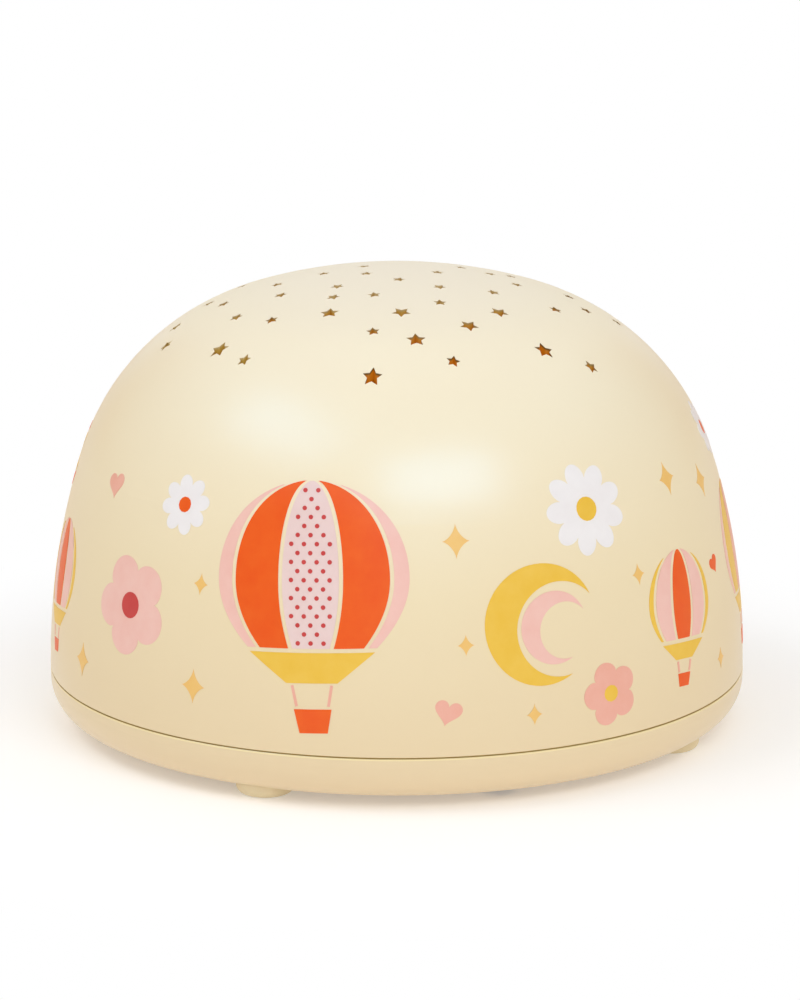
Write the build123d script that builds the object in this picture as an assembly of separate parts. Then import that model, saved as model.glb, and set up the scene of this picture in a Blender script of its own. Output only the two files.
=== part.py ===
"""Star night light projector: a dome pierced with stars, standing on a shallow base pan.

Millimetres. The origin is on the ground, under the middle of the lamp; +Z is up, -Y is the front, and the
power button is on the back, at +Y. Each function makes one sub-part in place, and the table at the end names
the nodes that are written to parts/.
"""
from build123d import *
from math import asin, atan2, cos, degrees, hypot, pi, radians, sin, sqrt
import os

# ---- outer shape
BODY_RADIUS = 78.0        # the lamp's largest radius, at the seam
DOME_HEIGHT = 89.0        # crown above the seam
SIDE_ARC = 157.0          # radius of the dome's side, upright at the seam
SHOULDER_ARC = 54.0       # radius of the dome's shoulder
CROWN_ARC = 116.0         # radius of the flat crown, centred on the axis
DOME_WALL = 2.2
BASE_DEPTH = 11.4         # seam to the underside of the base
BASE_RIM = 2.2            # upright band below the seam
BASE_CORNER = 8.0         # radius of the base's corner
BASE_BELLY = 40.0         # radius that eases the corner into the flat underside
BASE_WALL = 2.2
SEAM_BEVEL = 0.25         # bevel on both shells where they meet
TONGUE_HEIGHT = 2.5       # lip of the base that stands inside the dome
TONGUE_WALL = 1.4
TONGUE_ROOT = 5.0         # how far the lip runs down inside the base's rim
TONGUE_CLEARANCE = 0.15

# ---- star holes, cut straight up and down
LARGE_STAR = 2.3          # centre to point
SMALL_STAR = 1.65
STAR_WAIST = 0.5          # inner corners, as a share of the points' radius
# Each star: distance from the axis, bearing from the front towards +X, and how far its point is turned away
# from the crown, both in degrees. The rings repeat themselves half a turn on; the crown's own stars don't.
LARGE_STARS = ((50, -26, -2), (48, -73, 21), (46.5, 23, -21), (39.5, -14, -1),
               (35.5, 6, 21), (32, 24, 3), (30, -49, 24), (28, -18, 33))
SMALL_STARS = ((52.5, 33, -6), (52, -97, 0), (49, -62, 12), (49, 73, -30), (46.5, -5, -21), (42, 65, -24),
               (39, -84, 30), (38.5, -104, -18), (37, 50, 15), (36.5, -28, 15), (36.5, -68, -21),
               (27.5, -88, -33), (26.5, 70, 30), (24, 3, -18))
CROWN_STARS = ((24, 42, 33), (22.5, -58, 12), (22, 89, 12), (19, -35, 24), (18, 107, 26), (17, -70, 9),
               (16.5, -120, 30), (15.5, 17, 10), (10.5, -156, 23), (9, 72, -19), (8, -17, -18), (7, -95, -4))

# ---- feet
FOOT_DROP = 1.2           # how far the feet hold the base off the ground
FOOT_RADIUS = 6.4
FOOT_EDGE = 1.9           # rounding of a foot's tread
FOOT_INSET = 11.4         # feet in from the largest radius
FOOT_BEARING = 45.0
FOOT_STEM = 2.4           # radius of the plug pressed through the base
FOOT_HEAD = 3.4           # radius of the plug's barbed head
FOOT_HEAD_HEIGHT = 1.6
FIT_CLEARANCE = 0.05      # plugs, pins and screws in their own holes

# ---- cross recess in every screw head
RECESS_SPAN = 1.3         # shares of the head's radius
RECESS_SLOT = 0.22
RECESS_DEPTH = 0.55       # share of the head's height

# ---- screws that hold the two shells
CASE_SCREW_INSET = 14.0   # screws in from the largest radius
CASE_SCREW_COUNT = 3
CASE_SCREW_RADIUS = 1.45
CASE_SCREW_HEAD = 2.9
CASE_SCREW_HEAD_HEIGHT = 2.2
CASE_SCREW_LENGTH = 16.0
CASE_BOSS_RADIUS = 4.8
CASE_BORE_FLOOR = 6.0     # height of the screw head's seat above the underside
POST_RADIUS = 3.75        # the dome's screw posts
POST_HEIGHT = 16.0
POST_WEB = 2.0
WEB_GAP = 1.0             # webs above the base's lip
POST_BORE_SPARE = 2.0     # bore left beyond the screw's tip

# ---- three AA cells and their box
CELL_RADIUS = 7.25
CELL_LENGTH = 50.5
CELL_NUB_RADIUS = 2.75
CELL_NUB_LENGTH = 1.0
CELL_EDGE = 0.5           # rounding of a cell's ends
CELL_PITCH = 15.2
CELL_COUNT = 3
CELL_SIDE_GAP = 0.4       # outer cells to the side walls
CELL_LIFT = 0.5           # cells above the closed door
CRADLE_CLEARANCE = 0.3
CRADLE_REACH = 3.0        # the cradle's cusps start this far above the cells' axes
CONTACT_PLATE = 0.5
CONTACT_WIDTH = 11.0
CONTACT_LOW = 4.25        # contact plates below the cells' axes
CONTACT_HIGH = 2.6        # and above them
CONTACT_TAB = 3.0         # width of a solder tab
CONTACT_TAB_RISE = 3.0    # solder tab above the box
SPRING_LENGTH = 5.0
SPRING_WIRE = 0.4         # wire radius
SPRING_WIDE = 4.2         # coil radius at the plate
SPRING_NARROW = 2.6       # coil radius at the cell
SPRING_TURNS = 3.5
BOX_WALL = 1.6
TAB_ROOM = 0.4            # slots in the box round the solder tabs
LEDGE_WALL = 3.9          # frame round the battery opening, inside the base
LEDGE_HEIGHT = 2.1
BOX_EAR = 7.5             # fixing ears of the box
BOX_EAR_THICKNESS = 2.0
BOX_SCREW_REACH = 4.65    # screws beyond the box's ends
BOX_SCREW_INSET = 5.45    # screws in from the box's long sides
BOX_SCREW_RADIUS = 1.2
BOX_SCREW_LENGTH = 4.8
BOX_BOSS_RADIUS = 3.4

# ---- battery door
DOOR_THICKNESS = 2.0
DOOR_CLEARANCE = 0.3
DOOR_CORNER = 2.7
DOOR_STOP_GAP = 0.1       # door's inner face to the ledge
DOOR_EAR_RADIUS = 5.6
DOOR_SCREW_REACH = 6.15   # screws beyond the box's ends
DOOR_SCREW_RADIUS = 1.3
DOOR_SCREW_HEAD = 2.6
DOOR_SCREW_HEAD_HEIGHT = 1.2
DOOR_SCREW_LENGTH = 8.0   # under the head
DOOR_BOSS_RADIUS = 3.8
DOOR_BOSS_ROOF = 1.8      # boss beyond the screw's tip
DOOR_EAR_FLOOR = 1.5      # base floor round the door's ears
HEAD_CLEARANCE = 0.25
SHANK_CLEARANCE = 0.2     # screws where they only pass through
PILOT_SPARE = 0.4         # pilot holes beyond their screws' tips
GRIP_RIB = 0.5            # ribs on the door's outer face
GRIP_RIB_LENGTH = 16.0
GRIP_RIB_PITCH = 2.4
GRIP_RIB_COUNT = 5

# ---- boards
BOARD_THICKNESS = 1.6
BOARD_TAB_GAP = 0.75      # main board's ends to the solder tabs
BOARD_SIDE_INSET = 2.45   # main board's sides in from the box's
BOARD_CORNER = 2.0
STANDOFF_HEIGHT = 4.1
STANDOFF_RADIUS = 2.5
STANDOFF_INSET = (4.0, 3.0)   # board screws in from the board's edges
BOARD_SCREW_RADIUS = 1.0
BOARD_SCREW_HEAD = 2.1
BOARD_SCREW_HEAD_HEIGHT = 1.4
BOARD_SCREW_GRIP = 3.2    # thread in the plastic
BOARD_HOLE_CLEARANCE = 0.25
CHIP_LENGTH = 9.9
CHIP_WIDTH = 3.9
CHIP_HEIGHT = 1.5
CHIP_LIFT = 0.15
CHIP_LEG = 0.4            # width of a leg
CHIP_LEG_REACH = 1.0      # legs beyond the chip's sides
CHIP_LEG_PITCH = 1.27
CHIP_LEGS = 7
CHIP_INSET = (13.0, 7.0)  # chip's middle in from the board's edges
CAPACITOR_RADIUS = 3.15
CAPACITOR_HEIGHT = 7.7
CAPACITOR_CRIMP = 0.5     # crimped groove round the can
CAPACITOR_INSET = (11.0, 11.0)
RESISTOR = (1.25, 2.0, 0.55)
RESISTOR_PITCH = 2.4
RESISTOR_COUNT = 6
RESISTOR_INSET = (7.0, 6.0)     # the row's outer end in from the board's edges
TRANSISTOR = (2.9, 1.3, 1.1)
TRANSISTOR_PITCH = 4.2
TRANSISTOR_COUNT = 3      # one for each light colour
TRANSISTOR_INSET = (4.6, 10.0)
LEG_THICKNESS = 0.25
SOCKET = (7.5, 5.5, 5.0)  # socket for the switch leads
SOCKET_INSET = 0.5        # in from the board's back edge

# ---- light column
COLUMN_RADIUS = 7.5
COLUMN_WALL = 1.5
COLUMN_HEIGHT = 19.4      # main board to the underside of the top plate
COLUMN_FOOT_RADIUS = 14.0
COLUMN_FOOT_THICKNESS = 2.4
COLUMN_SCREW_INSET = 3.5  # in from the foot's edge
LAMP_PLATE_RIM = 0.5      # top plate beyond the lamp board
LAMP_PLATE_THICKNESS = 1.6
LAMP_BOARD_RADIUS = 12.0
LAMP_SCREW_INSET = 2.6    # in from the lamp board's edge
LAMP_BOSS_RADIUS = 2.4
LAMP_BOSS_HEIGHT = 5.0
LED_RADIUS = 2.5
LED_FLANGE = 2.9
LED_FLANGE_HEIGHT = 1.0
LED_BARREL = 6.1          # flange and barrel, below the round tip
LED_CIRCLE = 5.0
LED_BEARINGS = {"led_red": 90, "led_green": 210, "led_blue": 330}
LEAD_RADIUS = 0.55
LAMP_LEAD_SPACING = 3.0
BATTERY_LEAD_LOOP = 5.0   # top of a battery lead above the board
BATTERY_LEAD_LANDING = 6.0    # where it lands, in from the board's end
SWITCH_LEAD_SPACING = 2.5
SWITCH_LEAD_SLACK = 3.0   # dip between the switch and its socket
SWITCH_LEAD_SWAY = 1.5
SWITCH_LEAD_BEND = 9.0
BEND_SHARE = 0.45         # a bend's radius, as a share of the shorter run beside it

# ---- power button on the back
BUTTON_HEIGHT = 16.0      # button's axis above the seam
BUTTON_RADIUS = 5.5
BUTTON_CLEARANCE = 0.25
BUTTON_PROUD = 0.7        # cap beyond the dome at the button's axis
BUTTON_WALL = 1.3
BUTTON_EDGE = 0.6
BUTTON_FLANGE = 7.0
BUTTON_FLANGE_THICKNESS = 1.1
BUTTON_FLANGE_GAP = 0.25  # flange to the wall where the dome leans in most
BUTTON_STEM = 2.2
BUTTON_STEM_SPARE = 0.3   # stem beyond the flange, over the travel
BUTTON_TRAVEL = 0.8
SWITCH_SIDE = 6.0
SWITCH_HEIGHT = 3.5
SWITCH_SKIN = 0.5
PLUNGER_RADIUS = 1.75
PLUNGER_CLEARANCE = 0.1
PLUNGER_PROUD = 1.5
PLUNGER_FLOOR_GAP = 0.2   # plunger to the switch's floor, pressed
SWITCH_BOARD_LENGTH = 32.0
SWITCH_BOARD_WIDTH = 14.0
SWITCH_SCREW_INSET = 4.0  # in from the switch board's ends
SWITCH_BOSS_RADIUS = 3.0
SWITCH_SCREW_GRIP = 4.2   # thread in the dome's bosses

# ---- heights and lengths worked out from the sizes above
UNDERSIDE = FOOT_DROP
SEAM = UNDERSIDE + BASE_DEPTH
CROWN = SEAM + DOME_HEIGHT
BASE_FLOOR = UNDERSIDE + BASE_WALL
DOOR_TOP = UNDERSIDE + DOOR_THICKNESS
LEDGE_BOTTOM = DOOR_TOP + DOOR_STOP_GAP
LEDGE_TOP = LEDGE_BOTTOM + LEDGE_HEIGHT
CELL_AXIS = DOOR_TOP + CELL_LIFT + CELL_RADIUS
CRADLE_RADIUS = CELL_RADIUS + CRADLE_CLEARANCE
BOX_TOP = CELL_AXIS + CRADLE_RADIUS + BOX_WALL
BAY_LENGTH = CELL_LENGTH + SPRING_LENGTH + 2 * CONTACT_PLATE
BAY_WIDTH = (CELL_COUNT - 1) * CELL_PITCH + 2 * (CELL_RADIUS + CELL_SIDE_GAP)
BOX_LENGTH = BAY_LENGTH + 2 * BOX_WALL
BOX_WIDTH = BAY_WIDTH + 2 * BOX_WALL
DOOR_LENGTH = BOX_LENGTH
DOOR_WIDTH = BOX_WIDTH
BOARD_BOTTOM = BOX_TOP + STANDOFF_HEIGHT
BOARD_TOP = BOARD_BOTTOM + BOARD_THICKNESS
COLUMN_TOP = BOARD_TOP + COLUMN_HEIGHT
LAMP_BOARD_BOTTOM = COLUMN_TOP + LAMP_PLATE_THICKNESS
LAMP_BOARD_TOP = LAMP_BOARD_BOTTOM + BOARD_THICKNESS
BUTTON_AXIS = SEAM + BUTTON_HEIGHT
FOOT_CIRCLE = BODY_RADIUS - FOOT_INSET
CASE_SCREW_CIRCLE = BODY_RADIUS - CASE_SCREW_INSET
BOX_SCREW_X = BOX_LENGTH / 2 + BOX_SCREW_REACH
BOX_SCREW_Y = BOX_WIDTH / 2 - BOX_SCREW_INSET
DOOR_SCREW_X = DOOR_LENGTH / 2 + DOOR_SCREW_REACH
DOOR_SCREW_TIP = UNDERSIDE + DOOR_SCREW_HEAD_HEIGHT + DOOR_SCREW_LENGTH
BOARD_LENGTH = BAY_LENGTH - 2 * (CONTACT_PLATE + BOARD_TAB_GAP)
BOARD_WIDTH = BOX_WIDTH - 2 * BOARD_SIDE_INSET
STANDOFF_X = BOARD_LENGTH / 2 - STANDOFF_INSET[0]
STANDOFF_Y = BOARD_WIDTH / 2 - STANDOFF_INSET[1]
COLUMN_SCREW_X = COLUMN_FOOT_RADIUS - COLUMN_SCREW_INSET
LAMP_SCREW_Y = LAMP_BOARD_RADIUS - LAMP_SCREW_INSET
SWITCH_SCREW_X = SWITCH_BOARD_LENGTH / 2 - SWITCH_SCREW_INSET
SOCKET_Y = BOARD_WIDTH / 2 - SOCKET_INSET - SOCKET[1] / 2


# ---- profiles: plain geometry in the (radius, height) plane
def on_circle(centre, radius, angle):
    """The point of a circle at an angle in radians from the +X direction."""
    return (centre[0] + radius * cos(angle), centre[1] + radius * sin(angle))


def dome_arcs():
    """The dome's three tangent arcs from the seam to the crown: centre, radius, start angle, end angle."""
    side = (BODY_RADIUS - SIDE_ARC, SEAM)
    crown = (0.0, CROWN - CROWN_ARC)
    to_side, to_crown = SIDE_ARC - SHOULDER_ARC, CROWN_ARC - SHOULDER_ARC
    span = hypot(crown[0] - side[0], crown[1] - side[1])
    along = (span ** 2 + to_side ** 2 - to_crown ** 2) / (2 * span)
    across = sqrt(to_side ** 2 - along ** 2)
    ux, uz = (crown[0] - side[0]) / span, (crown[1] - side[1]) / span
    shoulder = (side[0] + ux * along - uz * across, side[1] + uz * along + ux * across)
    side_end = atan2(shoulder[1] - side[1], shoulder[0] - side[0])
    shoulder_end = atan2(shoulder[1] - crown[1], shoulder[0] - crown[0])
    return ((side, SIDE_ARC, 0.0, side_end),
            (shoulder, SHOULDER_ARC, side_end, shoulder_end),
            (crown, CROWN_ARC, shoulder_end, pi / 2))


def base_arcs():
    """The base's two tangent arcs from the flat underside out to the upright rim."""
    corner = (BODY_RADIUS - BASE_CORNER, SEAM - BASE_RIM)
    drop = BASE_DEPTH - BASE_RIM
    lean = asin((BASE_BELLY - drop) / (BASE_BELLY - BASE_CORNER))
    belly = (corner[0] - (BASE_BELLY - BASE_CORNER) * cos(lean),
             corner[1] + (BASE_BELLY - BASE_CORNER) * sin(lean))
    return ((belly, BASE_BELLY, -pi / 2, -lean), (corner, BASE_CORNER, -lean, 0.0))


def arc_edges(arcs, inset=0.0):
    """Edges for arcs moved inwards by inset, in the XZ plane."""
    edges = []
    for centre, radius, start, end in arcs:
        points = [on_circle(centre, radius - inset, a) for a in (start, (start + end) / 2, end)]
        edges.append(Edge.make_three_point_arc(*[(x, 0, z) for x, z in points]))
    return edges


def lines(*points):
    """Straight edges through (radius, height) points."""
    return [Edge.make_line((a[0], 0, a[1]), (b[0], 0, b[1])) for a, b in zip(points, points[1:])]


def turned(edges):
    """The solid that a closed outline in the XZ plane sweeps round the Z axis."""
    outline = Wire.combine(edges, tol=1e-5)[0]
    return Part() + revolve(Face(outline), axis=Axis.Z)


def dome_radius(height, inset=0.0):
    """Radius of the dome at a height above the ground, on its side arc."""
    centre, radius = dome_arcs()[0][:2]
    return centre[0] + sqrt((radius - inset) ** 2 - (height - centre[1]) ** 2)


def filled_dome(inset):
    """The dome as a solid lump, with its skin moved inwards."""
    start = (BODY_RADIUS - inset, SEAM)
    return turned(arc_edges(dome_arcs(), inset) + lines((0, CROWN - inset), (0, SEAM), start))


def filled_base(inset=0.0):
    """The base as a solid lump up to the seam, with its skin moved inwards."""
    belly_start = (base_arcs()[0][0][0], UNDERSIDE + inset)
    rim = BODY_RADIUS - inset
    inside = lines((rim, SEAM - BASE_RIM), (rim, SEAM), (0, SEAM), (0, UNDERSIDE + inset), belly_start)
    return turned(arc_edges(base_arcs(), inset) + inside)


# ---- small shapes that repeat
def rod(radius, low, high, x=0.0, y=0.0):
    """An upright cylinder between two heights."""
    return Pos(x, y, low) * Cylinder(radius, high - low, align=(Align.CENTER, Align.CENTER, Align.MIN))


def rod_back(radius, near, far, x=0.0, z=0.0):
    """A cylinder along +Y between two depths."""
    return Pos(x, near, z) * Rot(-90, 0, 0) * rod(radius, 0, far - near)


def block(length, width, low, high, x=0.0, y=0.0):
    """An upright box centred on (x, y) between two heights."""
    return Pos(x, y, low) * Box(length, width, high - low, align=(Align.CENTER, Align.CENTER, Align.MIN))


def plate(length, width, low, high, corner):
    """A flat plate with rounded corners, centred on the axis."""
    return Pos(0, 0, low) * extrude(RectangleRounded(length, width, corner), high - low)


def four(x, y):
    """The four corners of a rectangle."""
    return [(sx * x, sy * y) for sx in (-1, 1) for sy in (-1, 1)]


def around(radius, bearing):
    """The plan position at a radius and a bearing from the front (-Y) towards +X, in degrees."""
    return (radius * sin(radians(bearing)), -radius * cos(radians(bearing)))


def case_screw_places():
    """The case screws, evenly round the axis from the front."""
    return [around(CASE_SCREW_CIRCLE, 360 * i / CASE_SCREW_COUNT) for i in range(CASE_SCREW_COUNT)]


def cell_rows():
    """Y of each cell's axis, from the front."""
    return [(i - (CELL_COUNT - 1) / 2) * CELL_PITCH for i in range(CELL_COUNT)]


def pan_screw(radius, length, head, head_height):
    """A screw standing on its tip: shank below Z = 0, head above, with a cross recess."""
    span, slot, depth = RECESS_SPAN * head, RECESS_SLOT * head, RECESS_DEPTH * head_height
    cross = block(span, slot, head_height - depth, head_height)
    cross += block(slot, span, head_height - depth, head_height)
    return rod(radius, -length, 0) + rod(head, 0, head_height) - cross


def lead(points, radii, radius=LEAD_RADIUS):
    """A round wire along straight runs joined by tangent arcs."""
    path = FilletPolyline(*points, radius=radii)
    start = Plane(origin=path @ 0, z_dir=path % 0)
    return Part() + sweep(start * Circle(radius), path=path)


# ---- shells
def star(radius):
    """A five-pointed star with one point towards +Y."""
    corners = []
    for i in range(10):
        reach = radius if i % 2 == 0 else radius * STAR_WAIST
        corners.append((reach * sin(pi * i / 5), reach * cos(pi * i / 5)))
    return make_face(Polyline(*corners, close=True))


def star_cutters():
    """Upright prisms for the star holes, each with its point towards the crown before its own turn."""
    cutters = []
    for size, places, half_turns in ((LARGE_STAR, LARGE_STARS, (0, 180)), (SMALL_STAR, SMALL_STARS, (0, 180)),
                                     (SMALL_STAR, CROWN_STARS, (0,))):
        prism = extrude(star(size), DOME_HEIGHT)
        for reach, bearing, turn in places:
            for half_turn in half_turns:
                x, y = around(reach, bearing + half_turn)
                spin = bearing + half_turn + turn
                cutters.append(Pos(x, y, SEAM + DOME_HEIGHT / 2) * Rot(0, 0, spin) * prism)
    return cutters


def dome_shell():
    bevel_angle = asin(SEAM_BEVEL / SIDE_ARC)
    (side, side_radius, _, side_end), shoulder, crown = dome_arcs()
    skin = arc_edges(((side, side_radius, bevel_angle, side_end), shoulder, crown))
    lining = arc_edges(dome_arcs(), DOME_WALL)
    shell = turned(skin + lining + lines((0, CROWN), (0, CROWN - DOME_WALL))
                   + lines((BODY_RADIUS - DOME_WALL, SEAM), (BODY_RADIUS - SEAM_BEVEL, SEAM),
                           on_circle(side, side_radius, bevel_angle)))
    shell -= star_cutters()

    room = filled_dome(DOME_WALL / 2)
    web_low = SEAM + TONGUE_HEIGHT + WEB_GAP
    fittings = Part()
    for i, (x, y) in enumerate(case_screw_places()):
        fittings += rod(POST_RADIUS, SEAM, SEAM + POST_HEIGHT, x, y)
        web = Pos((CASE_SCREW_CIRCLE + BODY_RADIUS) / 2, 0, 0) * block(
            BODY_RADIUS - CASE_SCREW_CIRCLE, POST_WEB, web_low, SEAM + POST_HEIGHT)
        fittings += Rot(0, 0, 360 * i / CASE_SCREW_COUNT - 90) * web
    for x in (-SWITCH_SCREW_X, SWITCH_SCREW_X):
        fittings += rod_back(SWITCH_BOSS_RADIUS, switch_board_depth()[1], BODY_RADIUS, x, BUTTON_AXIS)
    shell += fittings & room

    for x, y in case_screw_places():
        tip = UNDERSIDE + CASE_BORE_FLOOR + CASE_SCREW_LENGTH
        shell -= rod(CASE_SCREW_RADIUS + FIT_CLEARANCE, SEAM, tip + POST_BORE_SPARE, x, y)
    for x in (-SWITCH_SCREW_X, SWITCH_SCREW_X):
        near = switch_board_depth()[1]
        far = near + SWITCH_SCREW_GRIP + PILOT_SPARE
        shell -= rod_back(BOARD_SCREW_RADIUS + FIT_CLEARANCE, near, far, x, BUTTON_AXIS)
    shell -= rod_back(BUTTON_RADIUS + BUTTON_CLEARANCE, BODY_RADIUS / 2, BODY_RADIUS + 1, 0, BUTTON_AXIS)
    return shell


def base_shell():
    rim_foot, wall_top = SEAM - BASE_RIM, BODY_RADIUS - BASE_WALL
    belly_x = base_arcs()[0][0][0]
    rim = lines((BODY_RADIUS, rim_foot), (BODY_RADIUS, SEAM - SEAM_BEVEL), (BODY_RADIUS - SEAM_BEVEL, SEAM),
                (wall_top, SEAM), (wall_top, rim_foot))
    floor = lines((belly_x, BASE_FLOOR), (0, BASE_FLOOR), (0, UNDERSIDE), (belly_x, UNDERSIDE))
    shell = turned(arc_edges(base_arcs()) + rim + arc_edges(base_arcs(), BASE_WALL) + floor)

    tongue_out = BODY_RADIUS - DOME_WALL - TONGUE_CLEARANCE
    tongue_in = tongue_out - TONGUE_WALL
    lip = rod(tongue_out, SEAM - TONGUE_ROOT, SEAM + TONGUE_HEIGHT) + rod(
        BODY_RADIUS - BASE_WALL / 2, SEAM - TONGUE_ROOT, SEAM)
    lip -= rod(tongue_in, SEAM - TONGUE_ROOT - 1, SEAM + TONGUE_HEIGHT + 1)
    envelope = filled_base(BASE_WALL / 2) + rod(tongue_out, SEAM - 1, SEAM + TONGUE_HEIGHT)

    inside = plate(BOX_LENGTH + 2 * LEDGE_WALL, BOX_WIDTH + 2 * LEDGE_WALL, LEDGE_BOTTOM, LEDGE_TOP,
                   DOOR_CORNER + LEDGE_WALL)
    for x, y in case_screw_places():
        inside += rod(CASE_BOSS_RADIUS, UNDERSIDE, SEAM, x, y)
    for x, y in four(BOX_SCREW_X, BOX_SCREW_Y):
        inside += rod(BOX_BOSS_RADIUS, BASE_FLOOR - BASE_WALL / 2, LEDGE_TOP, x, y)
    for x in (-DOOR_SCREW_X, DOOR_SCREW_X):
        inside += rod(DOOR_BOSS_RADIUS, LEDGE_BOTTOM, DOOR_SCREW_TIP + DOOR_BOSS_ROOF, x, 0)
        inside += rod(DOOR_EAR_RADIUS + DOOR_CLEARANCE + DOOR_EAR_FLOOR, LEDGE_BOTTOM, LEDGE_TOP, x, 0)
    shell += (lip + inside) & envelope

    shell -= door_outline(DOOR_CLEARANCE, UNDERSIDE - 1, LEDGE_BOTTOM)
    shell -= block(BAY_LENGTH, BAY_WIDTH, LEDGE_BOTTOM - 1, LEDGE_TOP + 1)
    for x in (-DOOR_SCREW_X, DOOR_SCREW_X):
        shell -= rod(DOOR_SCREW_RADIUS + FIT_CLEARANCE, UNDERSIDE, DOOR_SCREW_TIP + PILOT_SPARE, x, 0)
    for x, y in case_screw_places():
        seat = UNDERSIDE + CASE_BORE_FLOOR
        shell -= rod(CASE_SCREW_HEAD + HEAD_CLEARANCE, UNDERSIDE - 1, seat, x, y)
        shell -= rod(CASE_SCREW_RADIUS + SHANK_CLEARANCE, seat, SEAM + 1, x, y)
    for x, y in four(BOX_SCREW_X, BOX_SCREW_Y):
        tip = LEDGE_TOP + BOX_EAR_THICKNESS - BOX_SCREW_LENGTH
        shell -= rod(BOX_SCREW_RADIUS + FIT_CLEARANCE, tip - PILOT_SPARE, LEDGE_TOP + 1, x, y)
    for x, y in foot_places().values():
        shell -= rod(FOOT_STEM + FIT_CLEARANCE, 0, SEAM, x, y)
    return shell


def foot_places():
    """Each foot's name and plan position."""
    back = 180 - FOOT_BEARING
    return {"foot_front_left": around(FOOT_CIRCLE, -FOOT_BEARING),
            "foot_front_right": around(FOOT_CIRCLE, FOOT_BEARING),
            "foot_rear_left": around(FOOT_CIRCLE, -back),
            "foot_rear_right": around(FOOT_CIRCLE, back)}


def foot(x, y):
    """A soft foot: a round tread that meets the base's curve, and a barbed plug through the base."""
    tread = rod(FOOT_RADIUS, 0, SEAM - BASE_RIM)
    tread = fillet(tread.faces().sort_by(Axis.Z)[0].edges(), FOOT_EDGE)
    tread = Pos(x, y, 0) * tread - filled_base()
    tread = max(tread.solids(), key=lambda s: -s.center().Z)
    floor_high = max(base_height_at(FOOT_CIRCLE + FOOT_HEAD), base_height_at(FOOT_CIRCLE)) + BASE_WALL
    plug = rod(FOOT_STEM, FOOT_DROP / 2, floor_high + FOOT_HEAD_HEIGHT, x, y)
    head = rod(FOOT_HEAD, UNDERSIDE, floor_high + FOOT_HEAD_HEIGHT, x, y) & filled_base(BASE_WALL)
    return Part() + tread + plug + head


def base_height_at(radius):
    """Height of the base's outer face above the ground at a radius."""
    for centre, arc, start, end in base_arcs():
        if centre[0] <= radius <= centre[0] + arc * cos(end):
            return centre[1] - sqrt(arc ** 2 - (radius - centre[0]) ** 2)
    return UNDERSIDE


def case_screws():
    """The screws that come up through the base into the dome's posts."""
    seat = UNDERSIDE + CASE_BORE_FLOOR
    screw = pan_screw(CASE_SCREW_RADIUS, CASE_SCREW_LENGTH, CASE_SCREW_HEAD, CASE_SCREW_HEAD_HEIGHT)
    return [Pos(x, y, seat) * Rot(180, 0, 0) * screw for x, y in case_screw_places()]


# ---- battery box, cells and contacts
def door_outline(grow, low, high):
    """The door's outline, a rounded rectangle with a round ear at each end, grown all round."""
    outline = plate(DOOR_LENGTH + 2 * grow, DOOR_WIDTH + 2 * grow, low, high, DOOR_CORNER + grow)
    for x in (-DOOR_SCREW_X, DOOR_SCREW_X):
        outline += rod(DOOR_EAR_RADIUS + grow, low, high, x, 0)
        outline += block(DOOR_SCREW_X, 2 * (DOOR_EAR_RADIUS + grow), low, high, x / 2, 0)
    return outline


def battery_box():
    """An upturned tray with a round cradle over each cell, standing on the ledge round the opening."""
    box = block(BOX_LENGTH, BOX_WIDTH, LEDGE_TOP, BOX_TOP)
    box -= block(BAY_LENGTH, BAY_WIDTH, LEDGE_TOP - 1, CELL_AXIS + CRADLE_REACH)
    for y in cell_rows():
        box -= Pos(0, y, CELL_AXIS) * Rot(0, 90, 0) * Cylinder(CRADLE_RADIUS, BAY_LENGTH)

    ear_low, ear_high = LEDGE_TOP, LEDGE_TOP + BOX_EAR_THICKNESS
    for x, y in four(BOX_SCREW_X, BOX_SCREW_Y):
        root = (BOX_LENGTH - BOX_WALL) / 2 if x > 0 else -(BOX_LENGTH - BOX_WALL) / 2
        ear = block(abs(x - root), BOX_EAR, ear_low, ear_high, (x + root) / 2, y)
        ear += rod(BOX_EAR / 2, ear_low, ear_high, x, y)
        box += ear - rod(BOX_SCREW_RADIUS + BOARD_HOLE_CLEARANCE, ear_low - 1, ear_high + 1, x, y)

    pilot_floor = BOARD_BOTTOM - BOARD_SCREW_GRIP - PILOT_SPARE
    for x, y in four(STANDOFF_X, STANDOFF_Y) + [(-COLUMN_SCREW_X, 0), (COLUMN_SCREW_X, 0)]:
        box += rod(STANDOFF_RADIUS, BOX_TOP - BOX_WALL / 2, BOARD_BOTTOM, x, y)
        box -= rod(BOARD_SCREW_RADIUS + FIT_CLEARANCE, pilot_floor, BOARD_BOTTOM + 1, x, y)
    for side, y in ((-cell_facing(0), cell_rows()[0]), (cell_facing(CELL_COUNT - 1), cell_rows()[-1])):
        box -= block(CONTACT_PLATE + TAB_ROOM, CONTACT_TAB + TAB_ROOM, CELL_AXIS, BOX_TOP + 1,
                     side * (BAY_LENGTH - CONTACT_PLATE) / 2, y)
    return box


def box_screws():
    seat = LEDGE_TOP + BOX_EAR_THICKNESS
    screw = pan_screw(BOX_SCREW_RADIUS, BOX_SCREW_LENGTH, BOARD_SCREW_HEAD, BOARD_SCREW_HEAD_HEIGHT)
    return [Pos(x, y, seat) * screw for x, y in four(BOX_SCREW_X, BOX_SCREW_Y)]


def cell_facing(row):
    """+1 where a cell's positive end points to +X. Neighbours alternate, so the cells are in series."""
    return 1 if row % 2 == 0 else -1


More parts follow.
